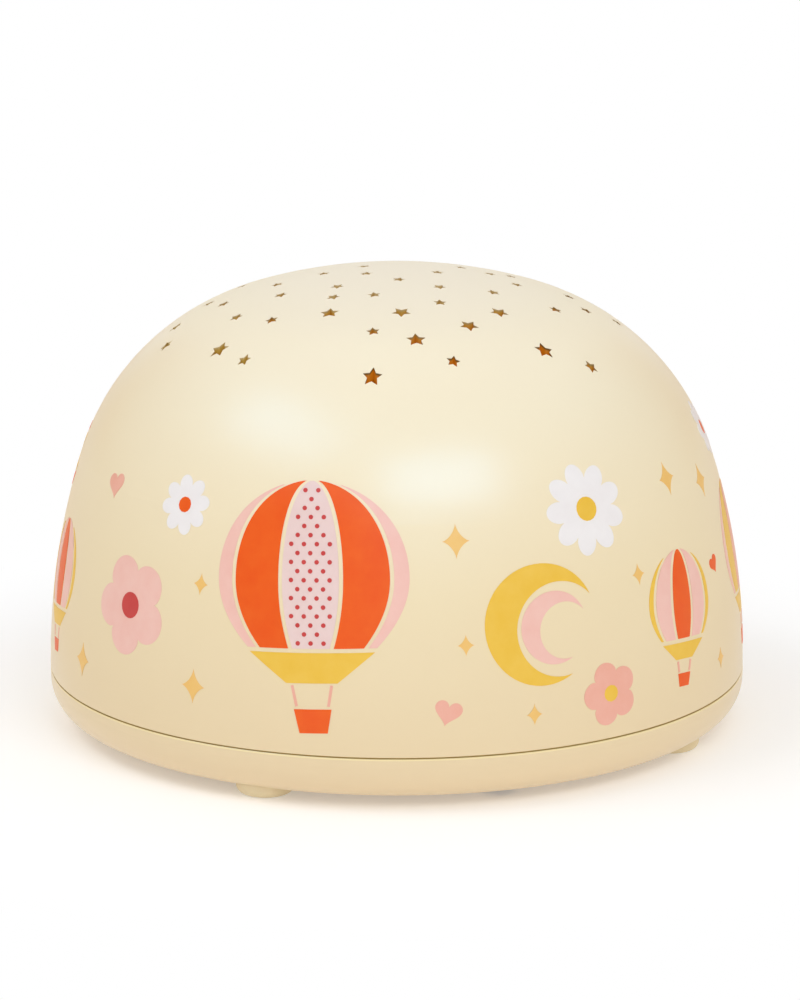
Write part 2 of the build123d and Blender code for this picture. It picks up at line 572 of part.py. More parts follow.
def cell(row):
    """One AA cell, its positive nub against one contact and its other end against a spring."""
    can = CELL_LENGTH - CELL_NUB_LENGTH
    body = rod(CELL_RADIUS, 0, can)
    body = fillet(body.edges().filter_by(GeomType.CIRCLE), CELL_EDGE)
    body += rod(CELL_NUB_RADIUS, can - CELL_EDGE, CELL_LENGTH)
    side = cell_facing(row)
    tip = side * (BAY_LENGTH / 2 - CONTACT_PLATE)
    return Pos(tip - side * CELL_LENGTH, cell_rows()[row], CELL_AXIS) * Rot(0, 90 * side, 0) * body


def contact_plate(side, rows):
    """A contact plate against one end wall (side -1 or +1), spanning the given rows."""
    ys = [cell_rows()[r] for r in rows]
    width = CONTACT_WIDTH + max(ys) - min(ys)
    return block(CONTACT_PLATE, width, CELL_AXIS - CONTACT_LOW, CELL_AXIS + CONTACT_HIGH,
                 side * (BAY_LENGTH - CONTACT_PLATE) / 2, (max(ys) + min(ys)) / 2)


def solder_tab(side, row):
    return block(CONTACT_PLATE, CONTACT_TAB, CELL_AXIS, BOX_TOP + CONTACT_TAB_RISE,
                 side * (BAY_LENGTH - CONTACT_PLATE) / 2, cell_rows()[row])


def contact_spring(row):
    """The tapered coil spring between a plate and a cell's negative end."""
    side = -cell_facing(row)
    length = SPRING_LENGTH - 2 * SPRING_WIRE - 2 * FIT_CLEARANCE
    taper = degrees(atan2(SPRING_WIDE - SPRING_NARROW, length))
    path = Helix(pitch=length / SPRING_TURNS, height=length, radius=SPRING_WIDE, cone_angle=-taper)
    coil = sweep(Plane(origin=path @ 0, z_dir=path % 0) * Circle(SPRING_WIRE), path=path, is_frenet=True)
    start = side * (BAY_LENGTH / 2 - CONTACT_PLATE - SPRING_WIRE - FIT_CLEARANCE)
    return Pos(start, cell_rows()[row], CELL_AXIS) * Rot(0, -90 * side, 0) * coil


def contact_positive():
    last = CELL_COUNT - 1
    return contact_plate(cell_facing(last), [last]) + solder_tab(cell_facing(last), last)


def contact_negative():
    side = -cell_facing(0)
    return [contact_plate(side, [0]) + solder_tab(side, 0), contact_spring(0)]


def contact_bridge(row):
    """The plate that joins one cell's positive end to the next cell's spring."""
    return [contact_plate(cell_facing(row), [row, row + 1]), contact_spring(row + 1)]


def battery_door():
    """The flat door with an ear for a screw at each end, and grip ribs on its outer face."""
    door = door_outline(0, UNDERSIDE, DOOR_TOP)
    for x in (-DOOR_SCREW_X, DOOR_SCREW_X):
        door -= rod(DOOR_SCREW_HEAD + HEAD_CLEARANCE, UNDERSIDE - 1, UNDERSIDE + DOOR_SCREW_HEAD_HEIGHT, x, 0)
        door -= rod(DOOR_SCREW_RADIUS + SHANK_CLEARANCE, UNDERSIDE, DOOR_TOP + 1, x, 0)
    for i in range(GRIP_RIB_COUNT):
        y = (i - (GRIP_RIB_COUNT - 1) / 2) * GRIP_RIB_PITCH
        door += block(GRIP_RIB_LENGTH, GRIP_RIB_PITCH / 3, UNDERSIDE - GRIP_RIB, UNDERSIDE, 0, y)
    return door


def door_screw(side):
    """The screw through the door's left (side -1) or right (side +1) ear, its head flush with the door."""
    screw = pan_screw(DOOR_SCREW_RADIUS, DOOR_SCREW_LENGTH, DOOR_SCREW_HEAD, DOOR_SCREW_HEAD_HEIGHT)
    return Pos(side * DOOR_SCREW_X, 0, UNDERSIDE + DOOR_SCREW_HEAD_HEIGHT) * Rot(180, 0, 0) * screw


# ---- main board and what is on it
def board_screw(through, grip=BOARD_SCREW_GRIP):
    """A small pan screw that clamps a thickness and bites into the plastic below it."""
    return pan_screw(BOARD_SCREW_RADIUS, through + grip, BOARD_SCREW_HEAD, BOARD_SCREW_HEAD_HEIGHT)


def main_board():
    board = plate(BOARD_LENGTH, BOARD_WIDTH, BOARD_BOTTOM, BOARD_TOP, BOARD_CORNER)
    for x, y in four(STANDOFF_X, STANDOFF_Y) + [(-COLUMN_SCREW_X, 0), (COLUMN_SCREW_X, 0)]:
        board -= rod(BOARD_SCREW_RADIUS + BOARD_HOLE_CLEARANCE, BOARD_BOTTOM - 1, BOARD_TOP + 1, x, y)
    return board


def board_screws():
    return [Pos(x, y, BOARD_TOP) * board_screw(BOARD_THICKNESS) for x, y in four(STANDOFF_X, STANDOFF_Y)]


def from_edges(inset, x_side, y_side):
    """A place on the main board, given in from its edges on the chosen sides."""
    return (x_side * (BOARD_LENGTH / 2 - inset[0]), y_side * (BOARD_WIDTH / 2 - inset[1]))


def legs(places, length):
    """Flat legs on the board, under a chip or transistor."""
    return [block(CHIP_LEG, length, BOARD_TOP, BOARD_TOP + LEG_THICKNESS, x, y) for x, y in places]


def controller_chip():
    """The timer and colour controller, with legs on both sides."""
    x, y = from_edges(CHIP_INSET, -1, -1)
    chip = block(CHIP_LENGTH, CHIP_WIDTH, BOARD_TOP + CHIP_LIFT, BOARD_TOP + CHIP_HEIGHT, x, y)
    row = [(x + (i - (CHIP_LEGS - 1) / 2) * CHIP_LEG_PITCH, y) for i in range(CHIP_LEGS)]
    return chip + legs(row, CHIP_WIDTH + 2 * CHIP_LEG_REACH)


def capacitor():
    x, y = from_edges(CAPACITOR_INSET, 1, -1)
    can = rod(CAPACITOR_RADIUS, BOARD_TOP, BOARD_TOP + CAPACITOR_HEIGHT, x, y)
    can = fillet(can.edges().filter_by(GeomType.CIRCLE), 0.8 * CAPACITOR_CRIMP)
    groove = (BOARD_TOP + 3 * CAPACITOR_CRIMP, BOARD_TOP + 4 * CAPACITOR_CRIMP)
    core = rod(CAPACITOR_RADIUS - CAPACITOR_CRIMP / 2, *groove, x, y)
    return can - (rod(CAPACITOR_RADIUS + 1, *groove, x, y) - core)


def resistors():
    """Surface-mount resistors in a row."""
    length, width, height = RESISTOR
    x, y = from_edges(RESISTOR_INSET, -1, 1)
    return [block(length, width, BOARD_TOP, BOARD_TOP + height, x + RESISTOR_PITCH * i, y)
            for i in range(RESISTOR_COUNT)]


def transistors():
    """Small switching transistors, each on three legs."""
    length, width, height = TRANSISTOR
    row = []
    for i in range(TRANSISTOR_COUNT):
        x, y = from_edges(TRANSISTOR_INSET, 1, 1)
        x -= i * TRANSISTOR_PITCH
        body = block(length, width, BOARD_TOP + CHIP_LIFT, BOARD_TOP + height, x, y)
        side, out = length / 3, 0.7 * width
        row.append(body + legs([(x - side, y - out), (x + side, y - out), (x, y + out)], 0.8 * width))
    return row


def lead_socket():
    """The socket that the switch leads plug into, at the back edge of the board."""
    length, width, height = SOCKET
    return block(length, width, BOARD_TOP, BOARD_TOP + height, 0, SOCKET_Y)


# ---- light column
def light_column():
    """A tube on a round foot, with a plate on top that carries the lamp board."""
    column = rod(COLUMN_RADIUS, BOARD_TOP, COLUMN_TOP)
    column += rod(COLUMN_FOOT_RADIUS, BOARD_TOP, BOARD_TOP + COLUMN_FOOT_THICKNESS)
    column += rod(LAMP_BOARD_RADIUS + LAMP_PLATE_RIM, COLUMN_TOP, LAMP_BOARD_BOTTOM)
    for y in (-LAMP_SCREW_Y, LAMP_SCREW_Y):
        column += rod(LAMP_BOSS_RADIUS, COLUMN_TOP - LAMP_BOSS_HEIGHT, COLUMN_TOP, 0, y)
    column -= rod(COLUMN_RADIUS - COLUMN_WALL, BOARD_TOP - 1, LAMP_BOARD_BOTTOM + 1)

    pilot_floor = LAMP_BOARD_BOTTOM - BOARD_SCREW_GRIP - PILOT_SPARE
    for y in (-LAMP_SCREW_Y, LAMP_SCREW_Y):
        column -= rod(BOARD_SCREW_RADIUS + FIT_CLEARANCE, pilot_floor, LAMP_BOARD_BOTTOM + 1, 0, y)
    for x in (-COLUMN_SCREW_X, COLUMN_SCREW_X):
        foot_top = BOARD_TOP + COLUMN_FOOT_THICKNESS
        column -= rod(BOARD_SCREW_RADIUS + BOARD_HOLE_CLEARANCE, BOARD_TOP - 1, foot_top + 1, x, 0)
    return column


def column_screws():
    screw = board_screw(COLUMN_FOOT_THICKNESS + BOARD_THICKNESS)
    return [Pos(x, 0, BOARD_TOP + COLUMN_FOOT_THICKNESS) * screw for x in (-COLUMN_SCREW_X, COLUMN_SCREW_X)]


def lamp_board():
    board = rod(LAMP_BOARD_RADIUS, LAMP_BOARD_BOTTOM, LAMP_BOARD_TOP)
    hole = BOARD_SCREW_RADIUS + BOARD_HOLE_CLEARANCE
    for y in (-LAMP_SCREW_Y, LAMP_SCREW_Y):
        board -= rod(hole, LAMP_BOARD_BOTTOM - 1, LAMP_BOARD_TOP + 1, 0, y)
    return board


def lamp_board_screws():
    return [Pos(0, y, LAMP_BOARD_TOP) * board_screw(BOARD_THICKNESS) for y in (-LAMP_SCREW_Y, LAMP_SCREW_Y)]


def led(bearing):
    """A round-topped light-emitting diode on the lamp board."""
    x, y = around(LED_CIRCLE, bearing)
    lens = rod(LED_RADIUS, 0, LED_BARREL) + Pos(0, 0, LED_BARREL) * Sphere(LED_RADIUS)
    lens += rod(LED_FLANGE, 0, LED_FLANGE_HEIGHT)
    return Pos(x, y, LAMP_BOARD_TOP) * lens


def lamp_leads():
    """Four wires that run up the column from the main board to the lamp board."""
    half = LAMP_LEAD_SPACING / 2
    return [rod(LEAD_RADIUS, BOARD_TOP, LAMP_BOARD_BOTTOM, x, y) for x, y in four(half, half)]


# ---- power button and its switch
def flange_face():
    """Y of the button flange's outer face, clear of the wall where the dome leans in above it."""
    lean = dome_radius(BUTTON_AXIS + BUTTON_FLANGE, DOME_WALL)
    return lean - BUTTON_FLANGE_GAP


def button_back():
    """Y of the button's inner end, where it meets the switch plunger."""
    return flange_face() - BUTTON_FLANGE_THICKNESS - BUTTON_TRAVEL - BUTTON_STEM_SPARE


def switch_board_depth():
    """Y of the switch board's inner and outer faces."""
    outer = button_back() - PLUNGER_PROUD - SWITCH_HEIGHT
    return outer - BOARD_THICKNESS, outer


def power_button():
    face = dome_radius(BUTTON_AXIS) + BUTTON_PROUD
    cap = rod_back(BUTTON_RADIUS, flange_face(), face)
    cap = fillet(cap.faces().sort_by(Axis.Y)[-1].edges(), BUTTON_EDGE)
    cap += rod_back(BUTTON_FLANGE, flange_face() - BUTTON_FLANGE_THICKNESS, flange_face())
    cap -= rod_back(BUTTON_RADIUS - BUTTON_WALL, button_back(), face - BUTTON_WALL)
    cap += rod_back(BUTTON_STEM, button_back(), face - BUTTON_WALL / 2)
    return Pos(0, 0, BUTTON_AXIS) * cap


def switch_plunger():
    """The moving pin of the switch, against the button's stem."""
    length = PLUNGER_PROUD + SWITCH_HEIGHT - SWITCH_SKIN - BUTTON_TRAVEL - PLUNGER_FLOOR_GAP
    return Pos(0, 0, BUTTON_AXIS) * rod_back(PLUNGER_RADIUS, button_back() - length, button_back())


def upright(length, near, far, height):
    """A box across the back of the lamp, centred on the button's axis."""
    return Pos(0, near, BUTTON_AXIS) * Box(length, far - near, height,
                                           align=(Align.CENTER, Align.MIN, Align.CENTER))


def switch_body():
    near = switch_board_depth()[1]
    mouth = near + SWITCH_HEIGHT
    well = rod_back(PLUNGER_RADIUS + PLUNGER_CLEARANCE, near + SWITCH_SKIN, mouth + 1, 0, BUTTON_AXIS)
    return upright(SWITCH_SIDE, near, mouth, SWITCH_SIDE) - well


def switch_board():
    near, far = switch_board_depth()
    board = upright(SWITCH_BOARD_LENGTH, near, far, SWITCH_BOARD_WIDTH)
    for x in (-SWITCH_SCREW_X, SWITCH_SCREW_X):
        board -= rod_back(BOARD_SCREW_RADIUS + BOARD_HOLE_CLEARANCE, near - 1, far + 1, x, BUTTON_AXIS)
    return board


def switch_board_screws():
    near = switch_board_depth()[0]
    screw = Rot(90, 0, 0) * board_screw(BOARD_THICKNESS, SWITCH_SCREW_GRIP)
    return [Pos(x, near, BUTTON_AXIS) * screw for x in (-SWITCH_SCREW_X, SWITCH_SCREW_X)]


# ---- leads
def battery_lead(side, row):
    """From a solder tab over the board's edge to the board's top face."""
    y = cell_rows()[row]
    out = side * (BAY_LENGTH - CONTACT_PLATE) / 2
    land = side * (BOARD_LENGTH / 2 - BATTERY_LEAD_LANDING)
    top = BOARD_TOP + BATTERY_LEAD_LOOP
    bend = BEND_SHARE * min(abs(out - land), BATTERY_LEAD_LOOP)
    return lead([(out, y, BOX_TOP + CONTACT_TAB_RISE), (out, y, top), (land, y, top), (land, y, BOARD_TOP)],
                (bend, bend))


def switch_leads():
    """Two wires from the switch board to its socket on the main board, with a little slack."""
    start, end = switch_board_depth()[0], SOCKET_Y + SOCKET[1] / 2
    run = start - end
    height = BOARD_TOP + SOCKET[2] / 2
    low, swayed = height - SWITCH_LEAD_SLACK, SWITCH_LEAD_SWAY
    wires = []
    for x in (-SWITCH_LEAD_SPACING / 2, SWITCH_LEAD_SPACING / 2):
        points = [(x, start, height), (x, start - 0.2 * run, height), (x + swayed, start - 0.42 * run, low),
                  (x + swayed, start - 0.62 * run, (low + height) / 2), (x, start - 0.8 * run, height),
                  (x, end, height)]
        wires.append(lead(points, [SWITCH_LEAD_BEND] * 4))
    return wires


# ---- the nodes
NODES = {
    "dome_shell": dome_shell(),
    "base_shell": base_shell(),
    **{name: foot(x, y) for name, (x, y) in foot_places().items()},
    "case_screws": case_screws(),
    "battery_box": battery_box(),
    "box_screws": box_screws(),
    "cell_front": cell(0),
    "cell_middle": cell(1),
    "cell_rear": cell(2),
    "contact_positive": contact_positive(),
    "contact_negative": contact_negative(),
    "contact_bridge_right": contact_bridge(0),
    "contact_bridge_left": contact_bridge(1),
    "battery_door": battery_door(),
    "door_screw_left": door_screw(-1),
    "door_screw_right": door_screw(1),
    "main_board": main_board(),
    "board_screws": board_screws(),
    "controller_chip": controller_chip(),
    "capacitor": capacitor(),
    "resistors": resistors(),
    "transistors": transistors(),
    "lead_socket": lead_socket(),
    "light_column": light_column(),
    "column_screws": column_screws(),
    "lamp_board": lamp_board(),
    "lamp_board_screws": lamp_board_screws(),
    **{name: led(bearing) for name, bearing in LED_BEARINGS.items()},
    "lamp_leads": lamp_leads(),
    "power_button": power_button(),
    "switch_plunger": switch_plunger(),
    "switch_body": switch_body(),
    "switch_board": switch_board(),
    "switch_board_screws": switch_board_screws(),
    "battery_lead_red": battery_lead(cell_facing(CELL_COUNT - 1), CELL_COUNT - 1),
    "battery_lead_black": battery_lead(-cell_facing(0), 0),
    "switch_leads": switch_leads(),
}

os.makedirs("parts", exist_ok=True)
for name, made in NODES.items():
    pieces = made if isinstance(made, list) else [made]
    solids = [solid for piece in pieces for solid in piece.solids()]
    export_step(Compound(children=solids) if len(solids) > 1 else solids[0], f"parts/{name}.step")
    print(f"{name}: {len(solids)} solids, {sum(s.volume for s in solids):.1f} mm3")
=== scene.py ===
# %% [markdown]
# # A star night light for a nursery
# The lamp is a cream plastic dome with star-shaped holes in its crown. It stands on a shallow pan with four small
# feet. Light from three diodes inside comes out through the stars. A printed band of balloons, moons and flowers
# runs round the side.
#
# The casing, the screws and everything inside come from an engineering model, which is loaded first. This lesson
# gives them their finishes, prints the decoration on the dome, and lights the scene.

# %% Load the frame
from math import acos, atan2, cos, degrees, hypot, pi, radians, sin, sqrt

import bpy
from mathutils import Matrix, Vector
from mathutils.geometry import delaunay_2d_cdt


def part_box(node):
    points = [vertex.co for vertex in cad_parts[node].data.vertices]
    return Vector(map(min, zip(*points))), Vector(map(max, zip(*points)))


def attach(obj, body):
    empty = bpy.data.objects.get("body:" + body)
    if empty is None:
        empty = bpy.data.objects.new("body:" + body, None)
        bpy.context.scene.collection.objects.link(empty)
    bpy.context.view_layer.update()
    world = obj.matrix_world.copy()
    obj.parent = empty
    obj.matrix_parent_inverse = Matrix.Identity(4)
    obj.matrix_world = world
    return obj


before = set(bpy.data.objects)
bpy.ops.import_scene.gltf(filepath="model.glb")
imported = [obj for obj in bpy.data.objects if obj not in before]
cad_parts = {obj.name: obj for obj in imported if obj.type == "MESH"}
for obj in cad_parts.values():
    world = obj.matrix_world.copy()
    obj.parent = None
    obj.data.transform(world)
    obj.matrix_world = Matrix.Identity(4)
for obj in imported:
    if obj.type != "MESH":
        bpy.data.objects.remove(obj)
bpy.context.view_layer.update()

MM = 0.001

# %% [markdown]
# ## Shader maths as Python
# A material is a graph of nodes. Wiring it by hand takes many lines, so one small class wraps an output socket and
# lets Python's own operators add the nodes: `1 - mask` makes a Subtract node. Other nodes come from one method,
# which sets a node's options first and then fills or links its inputs.


# %% One class for a socket
class Signal:
    """An output socket of a material's nodes, for use in arithmetic."""

    def __init__(self, tree, socket):
        self.tree = tree
        self.socket = socket

    def add(self, kind, settings=None, output=0, **inputs):
        """Add a node. Settings go first, then values or links by socket name (spaces as _), or i0, i1 by number."""
        node = self.tree.nodes.new(kind)
        for name, value in (settings or {}).items():
            if name == "stops":
                fill_ramp(node.color_ramp, value)
            else:
                setattr(node, name, value)
        for name, value in inputs.items():
            numbered = name[0] == "i" and name[1:].isdigit()
            socket = node.inputs[int(name[1:])] if numbered else node.inputs[name.replace("_", " ")]
            if isinstance(value, Signal):
                self.tree.links.new(value.socket, socket)
            else:
                socket.default_value = value
        return Signal(self.tree, node.outputs[output])

    def maths(self, operation, *others):
        inputs = {f"i{n}": value for n, value in enumerate(others, start=1)}
        return self.add("ShaderNodeMath", {"operation": operation}, i0=self, **inputs)

    def __add__(self, other):
        return self.maths("ADD", other)

    def __radd__(self, other):
        return self.maths("ADD", other)

    def __sub__(self, other):
        return self.maths("SUBTRACT", other)

    def __rsub__(self, other):
        return self.maths("MULTIPLY", -1.0).maths("ADD", other)

    def __mul__(self, other):
        return self.maths("MULTIPLY", other)

    def __rmul__(self, other):
        return self.maths("MULTIPLY", other)

    def __truediv__(self, other):
        return self.maths("DIVIDE", other)

    def __abs__(self):
        return self.maths("ABSOLUTE")

    def above(self, edge, softness=0.0):
        """1 where the signal is over the edge, 0 under it, with a soft step between if asked."""
        if not softness:
            return self.maths("GREATER_THAN", edge)
        return self.add("ShaderNodeMapRange", {"interpolation_type": "SMOOTHSTEP"}, Value=self,
                        From_Min=edge - softness, From_Max=edge + softness)

    def spread(self, low, high):
        """Stretch 0..1 to low..high."""
        return self * (high - low) + low

    def blend(self, first, second):
        """Mix two colours, with this signal as the factor."""
        return self.add("ShaderNodeMix", {"data_type": "RGBA"}, output=2, i0=self, i6=first, i7=second)

    def between(self, first, second):
        """Mix two shaders, with this signal as the factor."""
        return self.add("ShaderNodeMixShader", i0=self, i1=first, i2=second)


def fill_ramp(ramp, stops):
    """Give a colour ramp its stops: (position, colour) pairs."""
    while len(ramp.elements) < len(stops):
        ramp.elements.new(0.5)
    for element, (position, colour) in zip(ramp.elements, stops):
        element.position = position
        element.color = colour


# %% [markdown]
# ## A finish from a few words
# Every material here is one Principled shader. A short function makes it, so that each finish below only says what
# is special about it: numbers that are the same all over go straight on the shader's sockets, and what changes over
# the surface comes from a recipe that adds nodes.


# %% Make a finish
def colour(red, green, blue):
    """A colour given as on screen, from 0 to 255, in the linear values that Blender mixes."""
    linear = [((c / 255 + 0.055) / 1.055) ** 2.4 if c > 10 else c / 255 / 12.92 for c in (red, green, blue)]
    return (*linear, 1.0)


WHITE, BLACK = (1, 1, 1, 1), (0, 0, 0, 1)


def finish(name, recipe=None, **constants):
    """A Principled material. The recipe gets a start signal and returns {socket name: signal}."""
    material = bpy.data.materials.new(name)
    material.use_nodes = True
    tree = material.node_tree
    shader = tree.nodes["Principled BSDF"]
    for socket, value in constants.items():
        shader.inputs[socket.replace("_", " ")].default_value = value
    if recipe:
        place = tree.nodes.new("ShaderNodeTexCoord")
        for socket, signal in recipe(Signal(tree, place.outputs["Object"])).items():
            tree.links.new(signal.socket, shader.inputs[socket])
    return material


def grain(place, size, detail=2.0, roughness=0.5):
    """Noise with lumps of about the given size, in metres. It swings from 0 to 1 round 0.5."""
    return place.add("ShaderNodeTexNoise", Vector=place, Scale=1 / size, Detail=detail, Roughness=roughness)


def relief(height, depth):
    """A normal from a height signal whose full swing is depth metres."""
    return height.add("ShaderNodeBump", Height=height, Strength=1.0, Distance=depth)


def axis(place, letter):
    """One coordinate of a place."""
    return place.add("ShaderNodeSeparateXYZ", output="XYZ".index(letter), Vector=place)


print("shader helpers ready")

# %% [markdown]
# ## The camera
# The lamp is seen from a little above and about a fifth of a right angle to the left of its front, from about a
# metre away with a long lens. A long lens keeps the dome's outline calm, as in a catalogue.

# %% Place the camera
VIEW_AZIMUTH = -20.0       # degrees round from the front
VIEW_DISTANCE = 1.0654     # from the lamp's axis
VIEW_HEIGHT = 0.31627      # above the ground
VIEW_PITCH = 14.41         # degrees down
VIEW_FOCAL = 4900.3        # pixels
FRAME_WIDTH, FRAME_HEIGHT = 800, 1000
OPTICAL_CENTRE = (396.8, 529.2)    # pixel that the lens looks straight at
SENSOR = 36.0

lens = bpy.data.cameras.new("camera")
lens.sensor_width = SENSOR
lens.lens = VIEW_FOCAL * SENSOR / FRAME_HEIGHT
lens.shift_x = (FRAME_WIDTH / 2 - OPTICAL_CENTRE[0]) / FRAME_HEIGHT
lens.shift_y = (OPTICAL_CENTRE[1] - FRAME_HEIGHT / 2) / FRAME_HEIGHT
lens.clip_start = 0.05
camera = bpy.data.objects.new("camera", lens)
bpy.context.scene.collection.objects.link(camera)
side = radians(VIEW_AZIMUTH)
camera.location = (VIEW_DISTANCE * sin(side), -VIEW_DISTANCE * cos(side), VIEW_HEIGHT)
camera.rotation_euler = (pi / 2 - radians(VIEW_PITCH), 0.0, side)
bpy.context.scene.camera = camera
print("lens", round(lens.lens, 1), "mm")

# %% [markdown]
# ## The dome's shape as numbers
# The decoration has to lie on the dome, and the walls of the star holes are coloured by their depth under its skin.
# Both need the dome's outline as a formula. It is three round arcs that meet smoothly: a long one up the side, a tight
# one over the shoulder and a flat one over the crown. Its width, foot and top are read from the frame.

# %% Three arcs
SIDE_ARC = 157.0 * MM
SHOULDER_ARC = 54.0 * MM
CROWN_ARC = 116.0 * MM
WALL = 2.2 * MM

low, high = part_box("dome_shell")
SEAM, CROWN = low.z, high.z
BODY_RADIUS = (high.x - low.x) / 2


def dome_arcs():
    """(centre, radius, start angle, end angle) of each arc, in the plane of distance from the axis and height."""
    flank = (BODY_RADIUS - SIDE_ARC, SEAM)
    crown = (0.0, CROWN - CROWN_ARC)
    to_side, to_crown = SIDE_ARC - SHOULDER_ARC, CROWN_ARC - SHOULDER_ARC
    span = hypot(crown[0] - flank[0], crown[1] - flank[1])
    along = (span ** 2 + to_side ** 2 - to_crown ** 2) / (2 * span)
    across = sqrt(to_side ** 2 - along ** 2)
    ux, uz = (crown[0] - flank[0]) / span, (crown[1] - flank[1]) / span
    shoulder = (flank[0] + ux * along - uz * across, flank[1] + uz * along + ux * across)
    side_end = atan2(shoulder[1] - flank[1], shoulder[0] - flank[0])
    shoulder_end = atan2(shoulder[1] - crown[1], shoulder[0] - crown[0])
    return ((flank, SIDE_ARC, 0.0, side_end), (shoulder, SHOULDER_ARC, side_end, shoulder_end),
            (crown, CROWN_ARC, shoulder_end, pi / 2))


ARCS = dome_arcs()


def outline_at(distance):
    """(distance from the axis, height, slope angle) of the outline, that far along it from the seam."""
    for (cx, cz), radius, start, end in ARCS:
        run = radius * (end - start)
        if distance <= run or end == pi / 2:
            angle = start + distance / radius
            return cx + radius * cos(angle), cz + radius * sin(angle), angle
        distance -= run


def on_dome(azimuth, distance, lift=0.0):
    """A point on the dome: azimuth in degrees from the front towards +X, distance up the outline from the seam."""
    reach, height, angle = outline_at(distance)
    reach, height = reach + lift * cos(angle), height + lift * sin(angle)
    turn = radians(azimuth)
    return Vector((reach * sin(turn), -reach * cos(turn), height))


print("dome", round(2 * BODY_RADIUS / MM), "mm wide,", round((CROWN - SEAM) / MM), "mm above the seam")

# %% [markdown]
# ## Finishes of the casing
# The casing is injection-moulded plastic with a satin skin, a little translucent. Seen close, such plastic has a fine,
# even texture from the mould, and its gloss wanders a little. A flat colour would look like a drawing, so the recipe
# runs a colour ramp up the height that paints light into the colour: paler towards the crown, darker and warmer
# towards the base. It adds faint clouds and a fine bump, paints shade into the groove where the shells meet, and
# paints a highlight on the lip under the groove.

# %% Cream plastic
# Painted light: the ramp is cream made paler towards the crown and darker and warmer towards the base.
CREAM_AND_LIGHT_RAMP = ((0.0, colour(229, 205, 168)), (0.13, colour(233, 212, 173)), (0.45, colour(239, 223, 186)),
              (0.80, colour(246, 236, 208)), (0.92, colour(251, 241, 215)), (1.0, colour(250, 241, 221)))
# Painted shade in the seam groove, and a painted highlight on the lip just under it.
SEAM_SHADE = colour(158, 132, 62)
SEAM_LIP_HIGHLIGHT = colour(250, 234, 176)
SEAM_GROOVE = 0.15 * MM


def cream(place):
    """The casing's colour with painted light up the height (paler up, darker and warmer down), faint clouds, painted
    shade in the groove at the seam and a painted highlight on the lip under it.
    """
    height = axis(place, "Z")
    risen = height.add("ShaderNodeMapRange", Value=height, From_Min=0.0, From_Max=CROWN)
    base = risen.add("ShaderNodeValToRGB", {"stops": CREAM_AND_LIGHT_RAMP}, Fac=risen)
    cloud = grain(place, 26 * MM, detail=3.0)
    clouded = cloud.spread(0.0, 0.10).blend(base, colour(236, 212, 170))
    # A painted highlight on the lip under the seam, and painted shade in the groove.
    lip_highlight = 1 - abs(height - (SEAM - 2.4 * SEAM_GROOVE)).above(SEAM_GROOVE, SEAM_GROOVE / 2)
    groove_shade = 1 - abs(height - SEAM).above(SEAM_GROOVE, SEAM_GROOVE / 2)
    return groove_shade.blend((lip_highlight * 0.6).blend(clouded, SEAM_LIP_HIGHLIGHT), SEAM_SHADE)


def mould_texture(place, size=0.30 * MM, depth=0.003 * MM):
    """The fine, even bump that a satin mould leaves."""
    return relief(grain(place, size, detail=1.0), depth)


def satin(place):
    """The casing's roughness, which wanders a little."""
    return grain(place, 18 * MM).spread(0.276, 0.30)


def shell_recipe(place):
    return {"Base Color": cream(place), "Roughness": satin(place), "Normal": mould_texture(place)}


def wear(*nodes, finish):
    """Give CAD nodes a finish."""
    for name in nodes:
        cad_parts[name].material_slots[0].material = finish


SHELL_GLOSS = {"IOR": 1.4}
shell_plastic = finish("cream_shell_plastic", shell_recipe, **SHELL_GLOSS)
wear("base_shell", "battery_door", finish=shell_plastic)
print("cream plastic on the base and its door")

# %% [markdown]
# ## Light soaking through the dome
# The walls of the holes carry painted light and shade as well: gold and pale near the crown and on two flanks, dark at
# the lip elsewhere, palest at the very top.
# Daylight goes through the thin cream wall and comes out amber on the inside, so each star hole shows a deep amber
# hollow, and its cut edge runs from cream outside to gold inside. Tracing light through the plastic would be slow
# and grainy. A recipe on the dome does it instead: it works out how deep each point lies under the outer skin from
# the three arcs, and which way the surface faces, then colours the lining and gives it a weak glow.
#
# Among the small holes the mould is harder to polish, so the crown is duller than the flanks, and its highlight is
# broad and faint where it is seen against the light.

# %% The dome's skin, cut edges and lining
AMBER = colour(184, 112, 22)
# Painted light and shade on the holes' walls: the lip dark where unlit, gold walls and a pale lip where lit, palest at
# the very top.
SHADED_HOLE_LIP = colour(112, 82, 24)            # the very lip of a hole on the shoulder
GOLD = colour(202, 168, 78)           # a hole's wall where it is bright: near the crown, and on the lit flanks
LIT_HOLE_LIP = colour(208, 184, 124)      # and its lip there
LIT_CROWN_WALL = colour(222, 202, 154)    # any wall at the very top
AMBER_GLOW = colour(124, 72, 4)
GOLD_GLOW = colour(70, 54, 16)
LINING_GLOW = 0.8
GOLD_AT, GOLD_FADE = SEAM + 82.5 * MM, 4.5 * MM
CROWN_AT, CROWN_FADE, CROWN_SHARE = SEAM + 86.4 * MM, 1.6 * MM, 0.75
# Painted light: on these two flanks the holes' walls are painted bright, as if lit.
LIT_FLANKS = ((-90, 34 * MM, 8 * MM, 1.0), (70, 39 * MM, 6 * MM, 0.6))    # azimuth, distance out, fade, strength
DULL_AT, DULL_FADE, DULLER = CROWN - 11 * MM, 4 * MM, 0.28    # the crown's added roughness

SKIN_ENDS, SKIN_FADE = 0.04, 0.03     # depths, as shares of the wall's thickness
LIP_ENDS, LIP_FADE = 0.20, 0.10
DEEP_AT, DEEP_FADE = 0.75, 0.25
SQUARELY = 0.72                       # a face that looks this squarely out is skin, and this squarely in is lining
CUTS_FROM = SEAM + 30 * MM            # every hole is higher up than this


def length_of(across, up):
    """The length of the line that goes so far across and so far up."""
    return (across * across + up * up).maths("SQRT")


